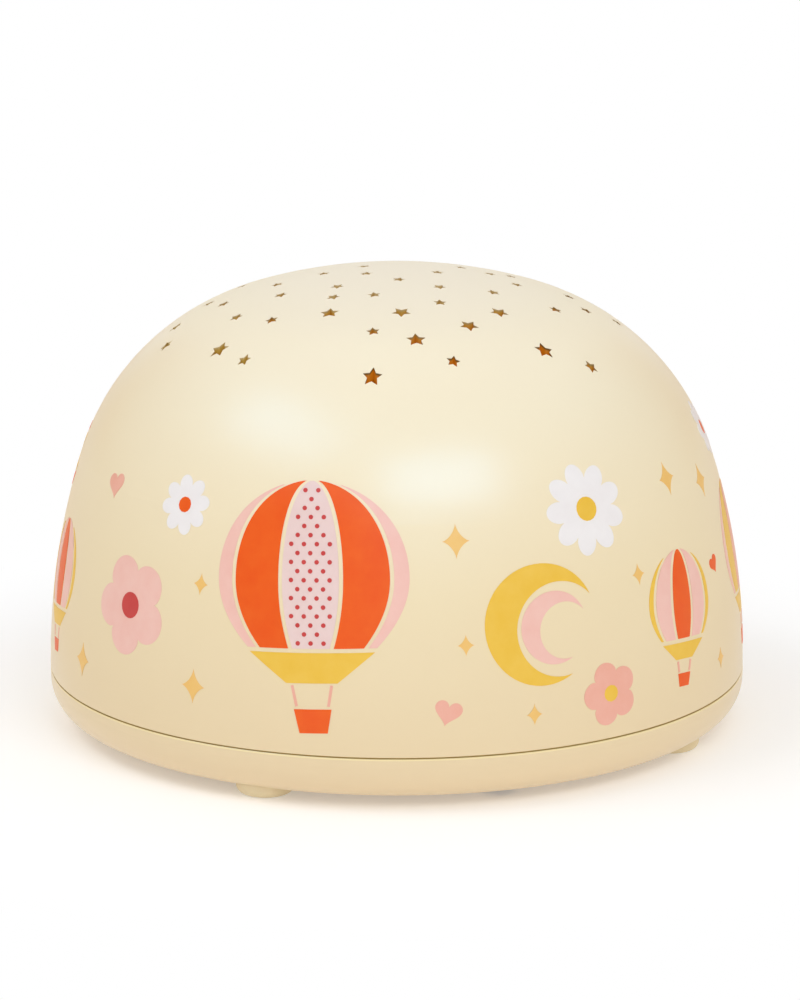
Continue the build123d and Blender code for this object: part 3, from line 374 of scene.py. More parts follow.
SHOULDER_X, SHOULDER_Z = ARCS[1][0]
CROWN_Z = ARCS[2][0][1]
ARCS_MEET = SHOULDER_X / (SHOULDER_Z - CROWN_Z)


def depth_under_skin(place):
    """How far a point lies under the dome's outer skin, near the shoulder and the crown."""
    x, y, z = axis(place, "X"), axis(place, "Y"), axis(place, "Z")
    reach = length_of(x, y)
    under_shoulder = SHOULDER_ARC - length_of(reach - SHOULDER_X, z - SHOULDER_Z)
    under_crown = CROWN_ARC - length_of(reach, z - CROWN_Z)
    on_shoulder = (reach / (z - CROWN_Z)).above(ARCS_MEET)
    return on_shoulder * under_shoulder + (1 - on_shoulder) * under_crown


def towards(place, azimuth):
    """Distance from the axis towards an azimuth."""
    return axis(place, "X") * sin(radians(azimuth)) + axis(place, "Y") * -cos(radians(azimuth))


def facing_out(place):
    """1 where the surface faces away from the dome's middle, -1 where it faces it, about 0 on a cut edge."""
    faced = place.add("ShaderNodeTexCoord", output="Normal")
    outward = place.add("ShaderNodeVectorMath", {"operation": "SUBTRACT"}, i0=place, i1=(0, 0, SEAM))
    outward = place.add("ShaderNodeVectorMath", {"operation": "NORMALIZE"}, i0=outward)
    return place.add("ShaderNodeVectorMath", {"operation": "DOT_PRODUCT"}, output="Value", i0=outward, i1=faced)


def dome_recipe(place):
    facing, height = facing_out(place), axis(place, "Z")
    lining = 1 - facing.above(-SQUARELY)
    cut_edge = (1 - lining) * (1 - facing.above(SQUARELY)) * height.above(CUTS_FROM)
    depth = depth_under_skin(place) / WALL
    past_lip = depth.above(LIP_ENDS, LIP_FADE)
    # Painted light: lit is 1 where the holes' walls are painted bright, near the crown and on two flanks.
    lit = height.above(GOLD_AT, GOLD_FADE)
    for azimuth, out, fade, strength in LIT_FLANKS:
        lit = lit.maths("MAXIMUM", towards(place, azimuth).above(out, fade) * strength)
    bright = depth.above(DEEP_AT, DEEP_FADE).blend(GOLD, AMBER)
    wall = past_lip.blend(lit.blend(SHADED_HOLE_LIP, LIT_HOLE_LIP), lit.blend(AMBER, bright))
    wall = (height.above(CROWN_AT, CROWN_FADE) * CROWN_SHARE).blend(wall, LIT_CROWN_WALL)
    skin = (cut_edge * depth.above(SKIN_ENDS, SKIN_FADE)).blend(cream(place), wall)
    inside = (cut_edge * past_lip).maths("MAXIMUM", lining)
    # A weak painted glow on the lining and on the holes' walls.
    glow = inside.blend(BLACK, (lit * (1 - lining)).blend(AMBER_GLOW, GOLD_GLOW))
    return {"Base Color": lining.blend(skin, AMBER), "Emission Color": glow, "Normal": mould_texture(place),
            "Roughness": satin(place) + height.above(DULL_AT, DULL_FADE) * DULLER}


dome_plastic = finish("cream_dome_plastic", dome_recipe, Emission_Strength=LINING_GLOW, **SHELL_GLOSS)
wear("dome_shell", finish=dome_plastic)
print("dome plastic with an amber lining")

# %% [markdown]
# ## Feet and button
# The feet are a soft cream rubber: duller than the shell, slightly yellower, with a coarser grain that grips. The
# push button is a second moulding, in the orange of the print, glossier from being pressed.


# %% Soft feet and the orange button
def feet_recipe(place):
    cloud = grain(place, 6 * MM, detail=3.0)
    return {"Base Color": cloud.blend(colour(238, 222, 186), colour(229, 209, 166)),
            "Roughness": cloud.spread(0.5, 0.62), "Normal": mould_texture(place, 0.5 * MM, 0.01 * MM)}


def button_recipe(place):
    cloud = grain(place, 4 * MM)
    return {"Base Color": cloud.blend(colour(238, 142, 72), colour(228, 128, 58)),
            "Roughness": cloud.spread(0.26, 0.36), "Normal": mould_texture(place)}


wear("foot_front_left", "foot_front_right", "foot_rear_left", "foot_rear_right",
     finish=finish("soft_foot_rubber", feet_recipe))
wear("power_button", finish=finish("orange_button_plastic", button_recipe))
print("feet and button")

# %% [markdown]
# ## Metal pieces
# Screws are zinc-plated steel, pressed and then tumbled, so they have a fine random scratch. The battery contacts
# are nickel: brighter and smoother, drawn in one direction. Both are fully metallic, and only the scratch pattern
# and the gloss differ, so one recipe maker serves both.


# %% Plated metals
def plated(pale, dull, gloss, stretch=(1, 1, 1)):
    """A recipe for plated metal with fine marks, drawn out along one axis if asked."""
    def recipe(place):
        drawn = place.add("ShaderNodeMapping", Vector=place, Scale=stretch)
        marks = grain(drawn, 0.4 * MM, detail=4.0, roughness=0.7)
        return {"Base Color": marks.blend(pale, dull), "Roughness": marks.spread(*gloss),
                "Normal": relief(marks, 0.004 * MM)}
    return recipe


zinc = finish("zinc_plated_steel", plated(colour(216, 215, 211), colour(184, 183, 180), (0.22, 0.42)), Metallic=1.0)
nickel = finish("nickel_contact", plated(colour(226, 224, 214), colour(200, 196, 184), (0.14, 0.28), (1, 1, 12)),
                Metallic=1.0)
wear("case_screws", "box_screws", "door_screw_left", "door_screw_right", "board_screws", "column_screws",
     "lamp_board_screws", "switch_board_screws", finish=zinc)
wear("contact_positive", "contact_negative", "contact_bridge_right", "contact_bridge_left", finish=nickel)
print("screws and contacts")

# %% [markdown]
# ## Cells
# Each cell is a steel can in a shrunk plastic sleeve. The sleeve stops short of both ends, where bare steel shows,
# and a copper band marks the positive end. The cells lie in alternate directions, so the recipe is made once for
# each direction.

# %% Cell sleeves
CELL_HALF = (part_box("cell_front")[1].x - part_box("cell_front")[0].x) / 2
SLEEVE_SHORT = 0.9 * MM
BAND = 9 * MM


def sleeve(middle, facing):
    """A recipe for a cell whose positive end points along X (facing 1) or against it (facing -1)."""
    def recipe(place):
        along = (axis(place, "X") - middle) * facing
        steel = abs(along + 0.5 * MM).above(CELL_HALF - SLEEVE_SHORT)
        band = along.above(CELL_HALF - BAND)
        ring = abs(along - (CELL_HALF - BAND)).above(0.35 * MM)
        mottle = grain(place, 0.5 * MM, detail=3.0)
        sleeve_tone = mottle.blend(colour(38, 74, 92), colour(30, 62, 80))
        copper_tone = mottle.blend(colour(196, 128, 84), colour(178, 112, 70))
        printed = ring.blend(colour(224, 222, 214), band.blend(sleeve_tone, copper_tone))
        return {"Base Color": steel.blend(printed, colour(206, 206, 204)), "Metallic": steel,
                "Roughness": mottle.spread(0.24, 0.34)}
    return recipe


for row, facing in (("cell_front", 1), ("cell_middle", -1), ("cell_rear", 1)):
    low_end, high_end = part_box(row)
    wear(row, finish=finish(f"{row}_sleeve", sleeve((low_end.x + high_end.x) / 2, facing)))
print("cells", round(2 * CELL_HALF / MM, 1), "mm long")

# %% [markdown]
# ## Circuit boards
# A board is glass fibre under a coat of green lacquer. Copper tracks show through as slightly paler lines that run
# square to each other, and the holes have bare rims. A Voronoi texture with a Manhattan distance gives such square
# paths without drawing any.


# %% Board lacquer
def lacquer(field, track):
    """A recipe for a lacquered board with tracks and pads of a second tone."""
    def recipe(place):
        paths = place.add("ShaderNodeTexVoronoi", {"feature": "DISTANCE_TO_EDGE"}, Vector=place, Scale=1 / (3.4 * MM))
        steps = place.add("ShaderNodeTexVoronoi", {"distance": "MANHATTAN"}, Vector=place, Scale=1 / (2.6 * MM))
        tracks = 1 - paths.above(0.07, 0.02)
        pads = 1 - steps.above(0.16, 0.03)
        weave = grain(place, 0.5 * MM, detail=1.0)
        marked = tracks.maths("MAXIMUM", pads)
        return {"Base Color": marked.blend(field, track), "Roughness": weave.spread(0.28, 0.40),
                "Normal": relief(marked + weave * 0.2, 0.03 * MM)}
    return recipe


green_board = finish("green_board_lacquer", lacquer(colour(22, 84, 50), colour(40, 118, 70)))
white_board = finish("white_board_lacquer", lacquer(colour(232, 233, 228), colour(214, 214, 206)))
wear("main_board", "switch_board", finish=green_board)
wear("lamp_board", finish=white_board)
print("boards")

# %% [markdown]
# ## Parts on the boards
# Chips and transistors are black epoxy with tinned legs. The legs lie against the board, so one step in height
# tells them from the body. Resistors have tinned ends, repeated along their row, and the capacitor is a bare
# aluminium top on a dark sleeve with a pale stripe down one side for its negative leg.

# %% Board parts
TINNED = colour(206, 206, 202)
BOARD_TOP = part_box("main_board")[1].z
LEG_TOP = BOARD_TOP + 0.26 * MM


def tinned_where(place, bare, body):
    """Black epoxy or the like, with bare tinned metal where the mask is 1."""
    speckle = grain(place, 0.2 * MM)
    deep = speckle.blend(body, colour(44, 44, 47))
    return {"Base Color": bare.blend(deep, TINNED), "Metallic": bare, "Roughness": speckle.spread(0.35, 0.55),
            "Normal": relief(speckle, 0.006 * MM)}


def epoxy_recipe(place):
    return tinned_where(place, 1 - axis(place, "Z").above(LEG_TOP), colour(26, 26, 28))


RESISTORS_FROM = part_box("resistors")[0].x
RESISTOR_PITCH = 2.4 * MM
RESISTOR_LENGTH = 1.25 * MM


def resistor_recipe(place):
    along = (axis(place, "X") - RESISTORS_FROM) / RESISTOR_PITCH
    within = abs(along.maths("FRACT") * RESISTOR_PITCH - RESISTOR_LENGTH / 2)
    return tinned_where(place, within.above(RESISTOR_LENGTH / 2 - 0.25 * MM), colour(24, 24, 27))


can_low, can_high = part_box("capacitor")


def can_recipe(place):
    top = axis(place, "Z").above(can_high.z - 0.45 * MM)
    stripe = (axis(place, "X") - (can_low.x + can_high.x) / 2).above(0.55 * (can_high.x - can_low.x) / 2)
    brushed = grain(place, 0.3 * MM, detail=3.0)
    sleeve_tone = stripe.blend(colour(34, 38, 54), colour(196, 200, 206))
    return {"Base Color": top.blend(sleeve_tone, colour(208, 210, 212)), "Metallic": top,
            "Roughness": brushed.spread(0.28, 0.42), "Normal": relief(brushed, 0.003 * MM)}


wear("controller_chip", "transistors", finish=finish("black_epoxy", epoxy_recipe))
wear("resistors", finish=finish("resistor_row", resistor_recipe))
wear("capacitor", finish=finish("capacitor_can", can_recipe))
print("chips, resistors and capacitor")

# %% [markdown]
# ## Plain mouldings and wires inside
# The light column and the lead socket are white plastic, the battery box is light grey, the switch is black nylon,
# and the wires have a coloured sleeve. These pieces see little light, but each keeps its own grain and gloss, made
# by one recipe maker that takes two close tones, a grain size and a gloss range.


# %% Inner mouldings
def grained(pale, deep, size, gloss):
    """A recipe that wanders between two close tones, in lumps of a size."""
    def recipe(place):
        tone = grain(place, size, detail=3.0)
        return {"Base Color": tone.blend(pale, deep), "Roughness": tone.spread(*gloss),
                "Normal": mould_texture(place, size / 8, 0.004 * MM)}
    return recipe


INNER = {
    "white_column_plastic": (("light_column", "lead_socket"), colour(238, 237, 232), colour(228, 226, 219), 5 * MM,
                             (0.35, 0.45)),
    "grey_box_plastic": (("battery_box",), colour(214, 214, 208), colour(203, 203, 197), 8 * MM, (0.42, 0.55)),
    "black_switch_nylon": (("switch_body", "switch_plunger"), colour(30, 30, 32), colour(42, 42, 44), 1 * MM,
                           (0.40, 0.55)),
    "red_wire": (("battery_lead_red",), colour(196, 36, 28), colour(178, 30, 24), 2 * MM, (0.30, 0.42)),
    "black_wire": (("battery_lead_black",), colour(26, 26, 28), colour(36, 36, 38), 2 * MM, (0.30, 0.42)),
    "white_wire": (("lamp_leads", "switch_leads"), colour(230, 229, 224), colour(216, 214, 207), 2 * MM,
                   (0.30, 0.42)),
}
for material_name, (worn_by, pale, deep, size, gloss) in INNER.items():
    wear(*worn_by, finish=finish(material_name, grained(pale, deep, size, gloss)))
print(len(INNER), "inner mouldings and wires")

# %% [markdown]
# ## Diodes
# The three diodes are tinted clear epoxy. Real clear plastic needs transmission and a refraction index, and its
# tint belongs in the base colour. A faint milkiness in the roughness keeps it from looking like glass.


# %% Tinted lenses
def tinted(tint, deep):
    """A recipe for clear epoxy with a tint."""
    def recipe(place):
        milk = grain(place, 1.2 * MM)
        return {"Base Color": milk.blend(tint, deep), "Roughness": milk.spread(0.08, 0.2)}
    return recipe


for diode, tint, deep in (("led_red", colour(236, 76, 60), colour(220, 52, 40)),
                          ("led_green", colour(84, 214, 104), colour(60, 196, 84)),
                          ("led_blue", colour(84, 128, 240), colour(62, 104, 226))):
    wear(diode, finish=finish(f"{diode}_epoxy", tinted(tint, deep), Transmission_Weight=0.8, IOR=1.53))
print("three lenses")

# %% [markdown]
# ## Printed decoration
# The decoration is pad-printed on the dome: thin films of ink that lie on the plastic. Each motif is drawn flat, in
# millimetres, as a few outlines. To wrap it, every outline is filled with small triangles, and each of their corners
# is moved to the dome: across becomes a turn about the axis, up becomes a distance along the dome's outline. Nothing
# is stretched, because the turn is worked out from the dome's width at that height.
#
# Each film is closed, with a top, an underside and a rim, so it also makes sense as a solid. Its top takes the
# dome's own normals, which keeps its gloss in step with the plastic round it.

# %% A film of ink
FILM_LIFT = 0.06 * MM       # of the lowest layer, over the plastic
LAYER_STEP = 0.035 * MM
FILM_SINK = 0.02 * MM
OUTLINE_STEP = 1.1          # millimetres, as all motifs are drawn
FILL_STEP = 2.4


def subdivided(outline, step=OUTLINE_STEP):
    """The outline with extra corners, so that no edge is longer than the step."""
    fine = []
    for (x0, y0), (x1, y1) in zip(outline, outline[1:] + outline[:1]):
        parts = max(1, int(hypot(x1 - x0, y1 - y0) / step + 0.999))
        fine += [(x0 + (x1 - x0) * i / parts, y0 + (y1 - y0) * i / parts) for i in range(parts)]
    return fine


def contains(outline, x, y):
    """Whether a point lies inside an outline: a ray from it crosses the outline an odd number of times."""
    inside = False
    for (x0, y0), (x1, y1) in zip(outline, outline[1:] + outline[:1]):
        if (y0 > y) != (y1 > y) and x < x0 + (y - y0) * (x1 - x0) / (y1 - y0):
            inside = not inside
    return inside


def filled(outline):
    """(corners, triangles) that fill an outline."""
    edge = subdivided(outline)
    left, right = min(x for x, y in edge), max(x for x, y in edge)
    bottom, top = min(y for x, y in edge), max(y for x, y in edge)
    inner = []
    for row in range(int((top - bottom) / FILL_STEP) + 1):
        for column in range(int((right - left) / FILL_STEP) + 1):
            x, y = left + (column + 0.5 + 0.5 * (row % 2)) * FILL_STEP, bottom + (row + 0.5) * FILL_STEP
            if contains(edge, x, y) and min(hypot(x - ex, y - ey) for ex, ey in edge) > FILL_STEP / 3:
                inner.append((x, y))
    corners, _, faces, *_ = delaunay_2d_cdt([Vector(p) for p in edge + inner], [], [list(range(len(edge)))], 1, 1e-6)
    return [(corner.x, corner.y) for corner in corners], faces


def print_motif(name, azimuth, rise, layers, tilt=0.0):
    """Print a motif on the dome: layers are (ink, outline in mm), lowest first. It rides the lamp's body."""
    turn = radians(tilt)
    points, faces, normals, slots = [], [], [], []
    inks = list(dict.fromkeys(ink for ink, outline in layers))
    levels = []
    for ink, outline in layers:
        under = [level for (_, other), level in zip(layers, levels) if any(contains(other, *p) for p in outline)]
        levels.append(max(under, default=-1) + 1)
        corners, triangles = filled(outline)
        first, count = len(points), len(corners)
        outward = []
        for lift in (FILM_LIFT + LAYER_STEP * levels[-1], -FILM_SINK):
            for x, y in corners:
                across, up = x * cos(turn) - y * sin(turn), x * sin(turn) + y * cos(turn)
                distance = (rise + up) * MM
                reach, _, slope = outline_at(distance)
                bearing = azimuth + degrees(across * MM / reach)
                points.append(on_dome(bearing, distance, lift))
                round_to = radians(bearing)
                outward.append(Vector((sin(round_to) * cos(slope), -cos(round_to) * cos(slope), sin(slope))))
        edges = set()
        for face in triangles:
            edges |= {(face[i], face[i - 2]) for i in range(3)}
            faces.append([first + i for i in face])
            normals += [outward[i] for i in face]
            faces.append([first + count + i for i in reversed(face)])
            normals += [-outward[i] for i in reversed(face)]
            slots += [inks.index(ink)] * 2
        for a, b in edges:
            if (b, a) not in edges:
                quad = [first + count + a, first + count + b, first + b, first + a]
                faces.append(quad)
                across_rim = (points[quad[1]] - points[quad[0]]).cross(points[quad[3]] - points[quad[0]])
                normals += [across_rim.normalized()] * 4
                slots.append(inks.index(ink))
    mesh = bpy.data.meshes.new(name)
    mesh.from_pydata(points, [], faces)
    for ink in inks:
        mesh.materials.append(INKS[ink])
    mesh.polygons.foreach_set("material_index", slots)
    mesh.normals_split_custom_set(normals)
    motif = bpy.data.objects.new(name, mesh)
    bpy.context.scene.collection.objects.link(motif)
    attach(motif, "lamp")


print("film", FILM_LIFT / MM, "mm over the plastic")

# %% [markdown]
# ## Inks
# Printing ink on satin plastic is opaque and a touch glossier than the plastic. Its colour is never quite even,
# because the pad leaves more ink in one place than in another, so each ink wanders between two near tones.


# %% Inks
def printed(thick, thin):
    """A recipe for ink that wanders between two near tones."""
    def recipe(place):
        cover = grain(place, 5 * MM, detail=4.0, roughness=0.6)
        return {"Base Color": cover.spread(-0.4, 1.4).blend(thick, thin), "Roughness": cover.spread(0.30, 0.40),
                "Normal": mould_texture(place)}
    return recipe


INK_TONES = {
    "orange": ((236, 84, 6), (240, 98, 14)), "mustard": ((236, 190, 62), (240, 198, 80)),
    "pink": ((240, 188, 176), (243, 200, 188)), "salmon": ((236, 170, 150), (240, 182, 164)),
    "mauve": ((232, 204, 200), (236, 212, 208)), "white": ((238, 234, 234), (243, 240, 240)),
    "crimson": ((196, 60, 60), (206, 74, 72)), "gold": ((238, 190, 104), (242, 200, 124)),
}
INKS = {name: finish(f"{name}_ink", printed(colour(*thick), colour(*thin)), **SHELL_GLOSS)
        for name, (thick, thin) in INK_TONES.items()}
print(len(INKS), "inks")

# %% [markdown]
# ## Motifs as outlines
# Round shapes come from one function that walks round a centre at a changing distance: a constant gives a disc, a
# wave gives petals. A balloon's panels follow its own width, so they narrow towards the crown and the mouth as the
# cloth of a real balloon does, and the bare plastic between them reads as the seams.


# %% Draw the motifs
def around(distance_at, count, centre=(0.0, 0.0)):
    """An outline that goes round a centre at the distance given for each angle."""
    return [(centre[0] + distance_at(2 * pi * i / count) * cos(2 * pi * i / count),
             centre[1] + distance_at(2 * pi * i / count) * sin(2 * pi * i / count)) for i in range(count)]


def disc(radius, centre=(0.0, 0.0)):
    return around(lambda angle: radius, max(12, int(7 * radius)), centre)


def bar(start, end, width):
    """A straight stroke."""
    (x0, y0), (x1, y1) = start, end
    length = hypot(x1 - x0, y1 - y0)
    nx, ny = -(y1 - y0) / length * width / 2, (x1 - x0) / length * width / 2
    return [(x0 - nx, y0 - ny), (x1 - nx, y1 - ny), (x1 + nx, y1 + ny), (x0 + nx, y0 + ny)]


def crescent(radius, bite, offset):
    """A disc with a smaller disc bitten out of its right side."""
    meet = (radius ** 2 - bite ** 2 + offset ** 2) / (2 * offset)
    outer, inner = acos(meet / radius), acos((meet - offset) / bite)
    rim = [outer + (2 * pi - 2 * outer) * i / 48 for i in range(49)]
    hollow = [2 * pi - inner - (2 * pi - 2 * inner) * i / 40 for i in range(1, 40)]
    return ([(radius * cos(a), radius * sin(a)) for a in rim]
            + [(offset + bite * cos(a), bite * sin(a)) for a in hollow])


def moon(size, outer="mustard", inner="pink"):
    """A crescent with a smaller one nested in its hollow."""
    half = size / 2
    full = crescent(half, 0.78 * half, 0.34 * half)
    return [(outer, full), (inner, [(0.6 * x + 0.23 * half, 0.6 * y) for x, y in full])]


def flower(size, petals, ink, middle, depth=0.34):
    """Petals cut in by a share of the flower's radius, round a middle of another ink."""
    half = size / 2

    def edge(angle):
        return half * (1 - depth + depth * abs(cos(petals * angle / 2 + pi / 2 * (petals % 2))) ** 0.7)
    return [(ink, around(edge, 24 * petals)), (middle, disc(0.26 * half))]


def sparkle(size):
    """A four-pointed star with hollow sides."""
    half = size / 2
    return [("gold", [(0.8 * half * cos(a) ** 3, half * sin(a) ** 3) for a in (2 * pi * i / 32 for i in range(32))])]


def heart(size, ink="salmon"):
    """The usual heart curve, which is 32 units wide."""
    scale = size / 32
    return [(ink, [(scale * 16 * sin(a) ** 3,
                    scale * (13 * cos(a) - 5 * cos(2 * a) - 2 * cos(3 * a) - cos(4 * a)))
                   for a in (2 * pi * i / 40 for i in range(40))][::-1])]


DOT, DOT_ROWS, DOT_COLUMNS = 0.5, 1.9, 2.8        # a dot's radius, and the dots' pitch up and across


def balloon(width, inks, dotted=()):
    """A hot-air balloon that stands on its basket. Its panels take the inks in turn; some carry dots."""
    half = width / 2
    mouth, belly = 0.50 * half, 1.50 * half           # heights over the basket's foot
    skirt = mouth + 0.30 * half
    gap = 0.45

    def half_width(y):
        if y >= belly:
            return sqrt(max(0.0, half ** 2 - (y - belly) ** 2))
        return half * (1 - 0.74 * ((belly - y) / (belly - mouth)) ** 2)

    heights = [skirt + 2 * gap + (belly - skirt - 2 * gap) * i / 16 for i in range(16)]
    heights += [belly + half * sin(pi / 2 * i / 24) for i in range(25)]
    edges = [sin(pi * (i / len(inks) - 0.5)) for i in range(len(inks) + 1)]
    layers = []
    for number, (ink, left, right) in enumerate(zip(inks, edges, edges[1:])):
        levels = [y for y in heights if (right - left) * half_width(y) > 2.4 * gap]
        layers.append((ink, [(right * half_width(y) - gap, y) for y in levels]
                       + [(left * half_width(y) + gap, y) for y in reversed(levels)]))
        if number in dotted:
            for row in range(int((levels[-1] - levels[0]) / DOT_ROWS)):
                y = levels[0] + DOT_ROWS * (row + 0.6)
                room = (right - left) / 2 * half_width(y) - gap - 2 * DOT
                centre = (left + right) / 2 * half_width(y)
                layers += [("crimson", disc(DOT, (centre + x, y))) for x in
                           (DOT_COLUMNS * (i + row % 2 / 2) for i in range(-3, 4)) if abs(x) < room]
    layers.append(("mustard", [(half_width(skirt), skirt), (-half_width(skirt), skirt),
                               (-half_width(mouth), mouth), (half_width(mouth), mouth)][::-1]))
    basket = 0.19 * half
    for side in (-1, 1):
        layers.append(("salmon", bar((side * 0.85 * basket, 0.27 * half), (side * 0.20 * half, mouth - gap), 0.6)))
    layers.append(("orange", [(-0.75 * basket, 0.0), (0.75 * basket, 0.0), (basket, 0.24 * half),
                              (-basket, 0.24 * half)]))
    return layers


WARM = ("pink", "orange", "mauve", "orange", "pink")
MILD = ("pink", "mustard", "salmon", "mustard", "pink")
SMALL = ("mustard", "pink", "orange", "pink", "mustard")
DRAWN = {
    "balloon_warm": balloon(43, WARM, (2,)), "balloon_cool": balloon(30, MILD), "balloon_small": balloon(24, SMALL),
    "moon": moon(26), "moon_small": moon(15, "orange", "mustard"),
    "daisy": flower(20, 9, "white", "mustard"), "daisy_small": flower(13, 8, "white", "orange"),
    "flower": flower(22, 5, "pink", "crimson", 0.3), "flower_small": flower(14, 5, "salmon", "mustard", 0.3),
    "sparkle": sparkle(7.5), "sparkle_small": sparkle(4.6), "heart": heart(6), "heart_small": heart(4.2, "orange"),
}
print(len(DRAWN), "motifs")

# %% [markdown]
# ## Where each motif goes
# A pad-printer repeats its plates round the lamp. The places are the motif, its turn round the lamp from the front,
# its distance up the outline from the seam in millimetres, and its tilt. The back is left clear at the button.

# %% Print the dome
PLACES = (
    ("balloon_warm", -33, 5, 3), ("moon", 4, 27, -18), ("balloon_small", 33, 7, -5), ("flower", -69, 26, 10),
    ("daisy", 15, 50, 0), ("daisy_small", -60, 50, 12), ("flower_small", 16, 10, 0), ("heart", -12, 10, -15),
    ("sparkle", -10, 46, 0), ("sparkle_small", -54, 34, 0), ("sparkle", -54, 12, 0), ("heart_small", 47, 30, 18),
    ("sparkle", 37, 52, 0), ("sparkle_small", -9, 24, 0), ("sparkle_small", 24, 34, 0), ("sparkle_small", 46, 9, 0),
    ("balloon_cool", 64, 6, -4), ("sparkle", 50, 48, 0), ("daisy_small", 66, 56, 0), ("heart", -80, 50, 10),
    ("balloon_small", -96, 7, 6), ("sparkle", -82, 10, 0), ("moon_small", -112, 48, 20), ("sparkle_small", 2, 8, 0),
    ("moon", 94, 28, -14), ("daisy", 84, 52, 0), ("flower_small", 85, 8.5, 0), ("sparkle", 108, 50, 0),
    ("flower", 118, 20, 0), ("heart", 106, 10, -12), ("balloon_warm", -140, 5, -4), ("sparkle", -118, 30, 0),
    ("daisy_small", -116, 12, 8), ("daisy", 138, 46, 5), ("moon_small", 142, 18, 16), ("sparkle_small", 128, 37, 0),
    ("sparkle", 160, 36, 0), ("flower_small", 174, 50, 0), ("heart_small", -164, 36, 10), ("sparkle", -160, 52, 0),
    ("sparkle_small", 160, 14, 0), ("sparkle_small", -168, 16, 0),
)
for number, (motif, azimuth, rise, tilt) in enumerate(PLACES, start=1):
    print_motif(f"print_{number:02d}_{motif}", azimuth, rise, DRAWN[motif], tilt)
print(len(PLACES), "motifs printed")

# %% [markdown]
# ## Floor and light
# A product shot of this kind stands on white that has no edge. Close to the lamp the floor is matt, so it takes the
# lamp's shadow. Farther out the same floor fades to a plain white glow, which is never grey, and the world behind it
# shows white to the camera as well. From below the floor is clear, so that the battery door can be looked at.
#
# A pale dome on white would lose its outline if its flanks mirrored more white. In a studio, warm cards stand at both
# sides, just outside the picture, and the flanks mirror those. Here the floor and the world show such cards to glossy
# rays only, so they light nothing and no view shows them. What is seen through a clear lens is as white as what the
# camera sees.
#
# The world's soft light does most of the work. Two large lamps add the broad, faint highlights that show the dome is
# satin and not chalk.

# %% Floor and its paint
SHADOW_MIDDLE, SHADOW_FADE = 0.1225, 0.0375      # distance from the axis at which the floor fades to white
FLOOR_TONE = 0.90
FLOOR_LIFT = 0.22

floor_mesh = bpy.data.meshes.new("floor")
floor_mesh.from_pydata([(-6, -6, 0), (6, -6, 0), (6, 6, 0), (-6, 6, 0)], [], [(0, 1, 2, 3)])
floor = bpy.data.objects.new("floor", floor_mesh)
bpy.context.scene.collection.objects.link(floor)


def floor_recipe(place):
    return {"Roughness": grain(place, 2 * MM).spread(0.85, 0.95)}


floor_paint = finish("floor_paint", floor_recipe, Base_Color=(FLOOR_TONE,) * 3 + (1,), Specular_IOR_Level=0.0,
                     Emission_Color=WHITE, Emission_Strength=FLOOR_LIFT)
floor_mesh.materials.append(floor_paint)
print("floor")

# %% White far out, warm cards beside the lamp, clear from below
CARD_TONE = (0.72, 0.38, 0.12, 1)
CARD_TURN = radians(-20)                   # azimuth that the pair of cards faces
CARD_FROM, CARD_FADE = 0.115, 0.035        # metres to either side of the lamp, on the floor
CARD_SHARE = 0.5                           # how much of the floor there is card


def beside_lamp(place):
    """Distance to either side of the plane that the two cards face."""
    return abs(axis(place, "X") * cos(CARD_TURN) + axis(place, "Y") * sin(CARD_TURN))


def ray(tree, *kinds):
    """1 for a ray of any of the one or two kinds that are named, 0 for other rays."""
    path = tree.nodes.new("ShaderNodeLightPath")
    masks = [Signal(tree, path.outputs[f"Is {kind} Ray"]) for kind in kinds]
    return masks[0] if len(masks) == 1 else masks[0].maths("MAXIMUM", masks[1])


tree = floor_paint.node_tree
start = Signal(tree, tree.nodes.new("ShaderNodeTexCoord").outputs["Object"])
matt = Signal(tree, tree.nodes["Principled BSDF"].outputs[0])
glow = start.add("ShaderNodeEmission", Color=WHITE, Strength=1.0)
card = start.add("ShaderNodeEmission", Color=CARD_TONE, Strength=1.0)
clear = start.add("ShaderNodeBsdfTransparent")
far_out = length_of(axis(start, "X"), axis(start, "Y")).above(SHADOW_MIDDLE, SHADOW_FADE)
beside = beside_lamp(start).above(CARD_FROM, CARD_FADE) * ray(tree, "Glossy") * CARD_SHARE
seen = (far_out * ray(tree, "Camera", "Transmission")).between(matt, glow)
whole = start.add("ShaderNodeNewGeometry", output="Backfacing").between(beside.between(seen, card), clear)
tree.links.new(whole.socket, tree.nodes["Material Output"].inputs["Surface"])
print("floor fades to white")

# %% World
SKY = 0.64
CARD_EDGE, CARD_EDGE_FADE = 0.355, 0.195      # sideways, and
CARD_TOP, CARD_TOP_FADE = 0.60, 0.25          # up, of a direction of length 1

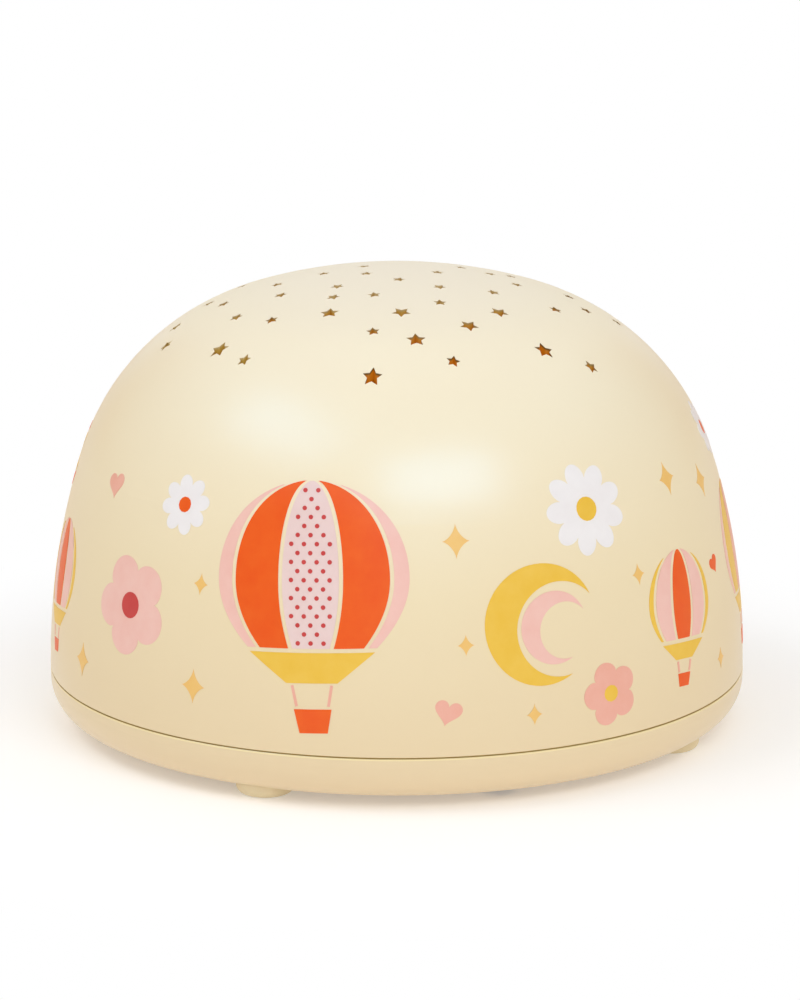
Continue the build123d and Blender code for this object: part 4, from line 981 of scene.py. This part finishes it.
world = bpy.data.worlds.new("studio")
bpy.context.scene.world = world
world.use_nodes = True
sky_tree = world.node_tree
look = Signal(sky_tree, sky_tree.nodes.new("ShaderNodeTexCoord").outputs["Generated"])
card = beside_lamp(look).above(CARD_EDGE, CARD_EDGE_FADE) * (1 - axis(look, "Z").above(CARD_TOP, CARD_TOP_FADE))


def shine(tone, strength):
    """A world that glows evenly in one tone."""
    return look.add("ShaderNodeBackground", Color=tone, Strength=strength)


mirrored = card.between(shine(WHITE, 1.0), shine(CARD_TONE, 1.0))
unseen = ray(sky_tree, "Glossy").between(shine(WHITE, SKY), mirrored)
whole = ray(sky_tree, "Camera", "Transmission").between(unseen, shine(WHITE, 1.0))
sky_tree.links.new(whole.socket, sky_tree.nodes["World Output"].inputs["Surface"])
print("world")

# %% [markdown]
# Each softbox is two lamps in nearly one place. The first lights surfaces and leaves no highlight. The second, its
# sheen, is cooler and shows in the gloss only, so that the highlights can be as white as a window's without whitening
# the whole dome.

# %% Softboxes
COOL = (0.13, 0.51, 1.0)
LAMP_DISTANCE = 1.2


def softbox(name, azimuth, elevation, width, height, power, sheen=False):
    """A lamp with a lying rectangular face that looks at the middle of the dome."""
    light = bpy.data.lights.new(name, "AREA")
    light.shape = "RECTANGLE"
    light.size, light.size_y = width, height
    light.energy = power
    light.color = COOL if sheen else WHITE[:3]
    lamp = bpy.data.objects.new(name, light)
    bpy.context.scene.collection.objects.link(lamp)
    lamp.visible_glossy, lamp.visible_diffuse = sheen, not sheen
    turn, rise = radians(azimuth), radians(elevation)
    aim = Vector((0, 0, (SEAM + CROWN) / 2))
    lamp.location = aim + LAMP_DISTANCE * Vector((sin(turn) * cos(rise), -cos(turn) * cos(rise), sin(rise)))
    lamp.rotation_euler = (aim - lamp.location).to_track_quat("-Z", "Y").to_euler()


softbox("key", -90, 53, 0.7, 0.45, 2.2)
softbox("key_sheen", -85, 55, 0.84, 0.42, 4.6, sheen=True)
softbox("fill", 4, 38, 0.8, 0.45, 3.2)
softbox("fill_sheen", -2, 40.5, 0.78, 0.50, 7.8, sheen=True)

bpy.context.scene.view_settings.view_transform = "Standard"
print("two softboxes, each of two lamps")
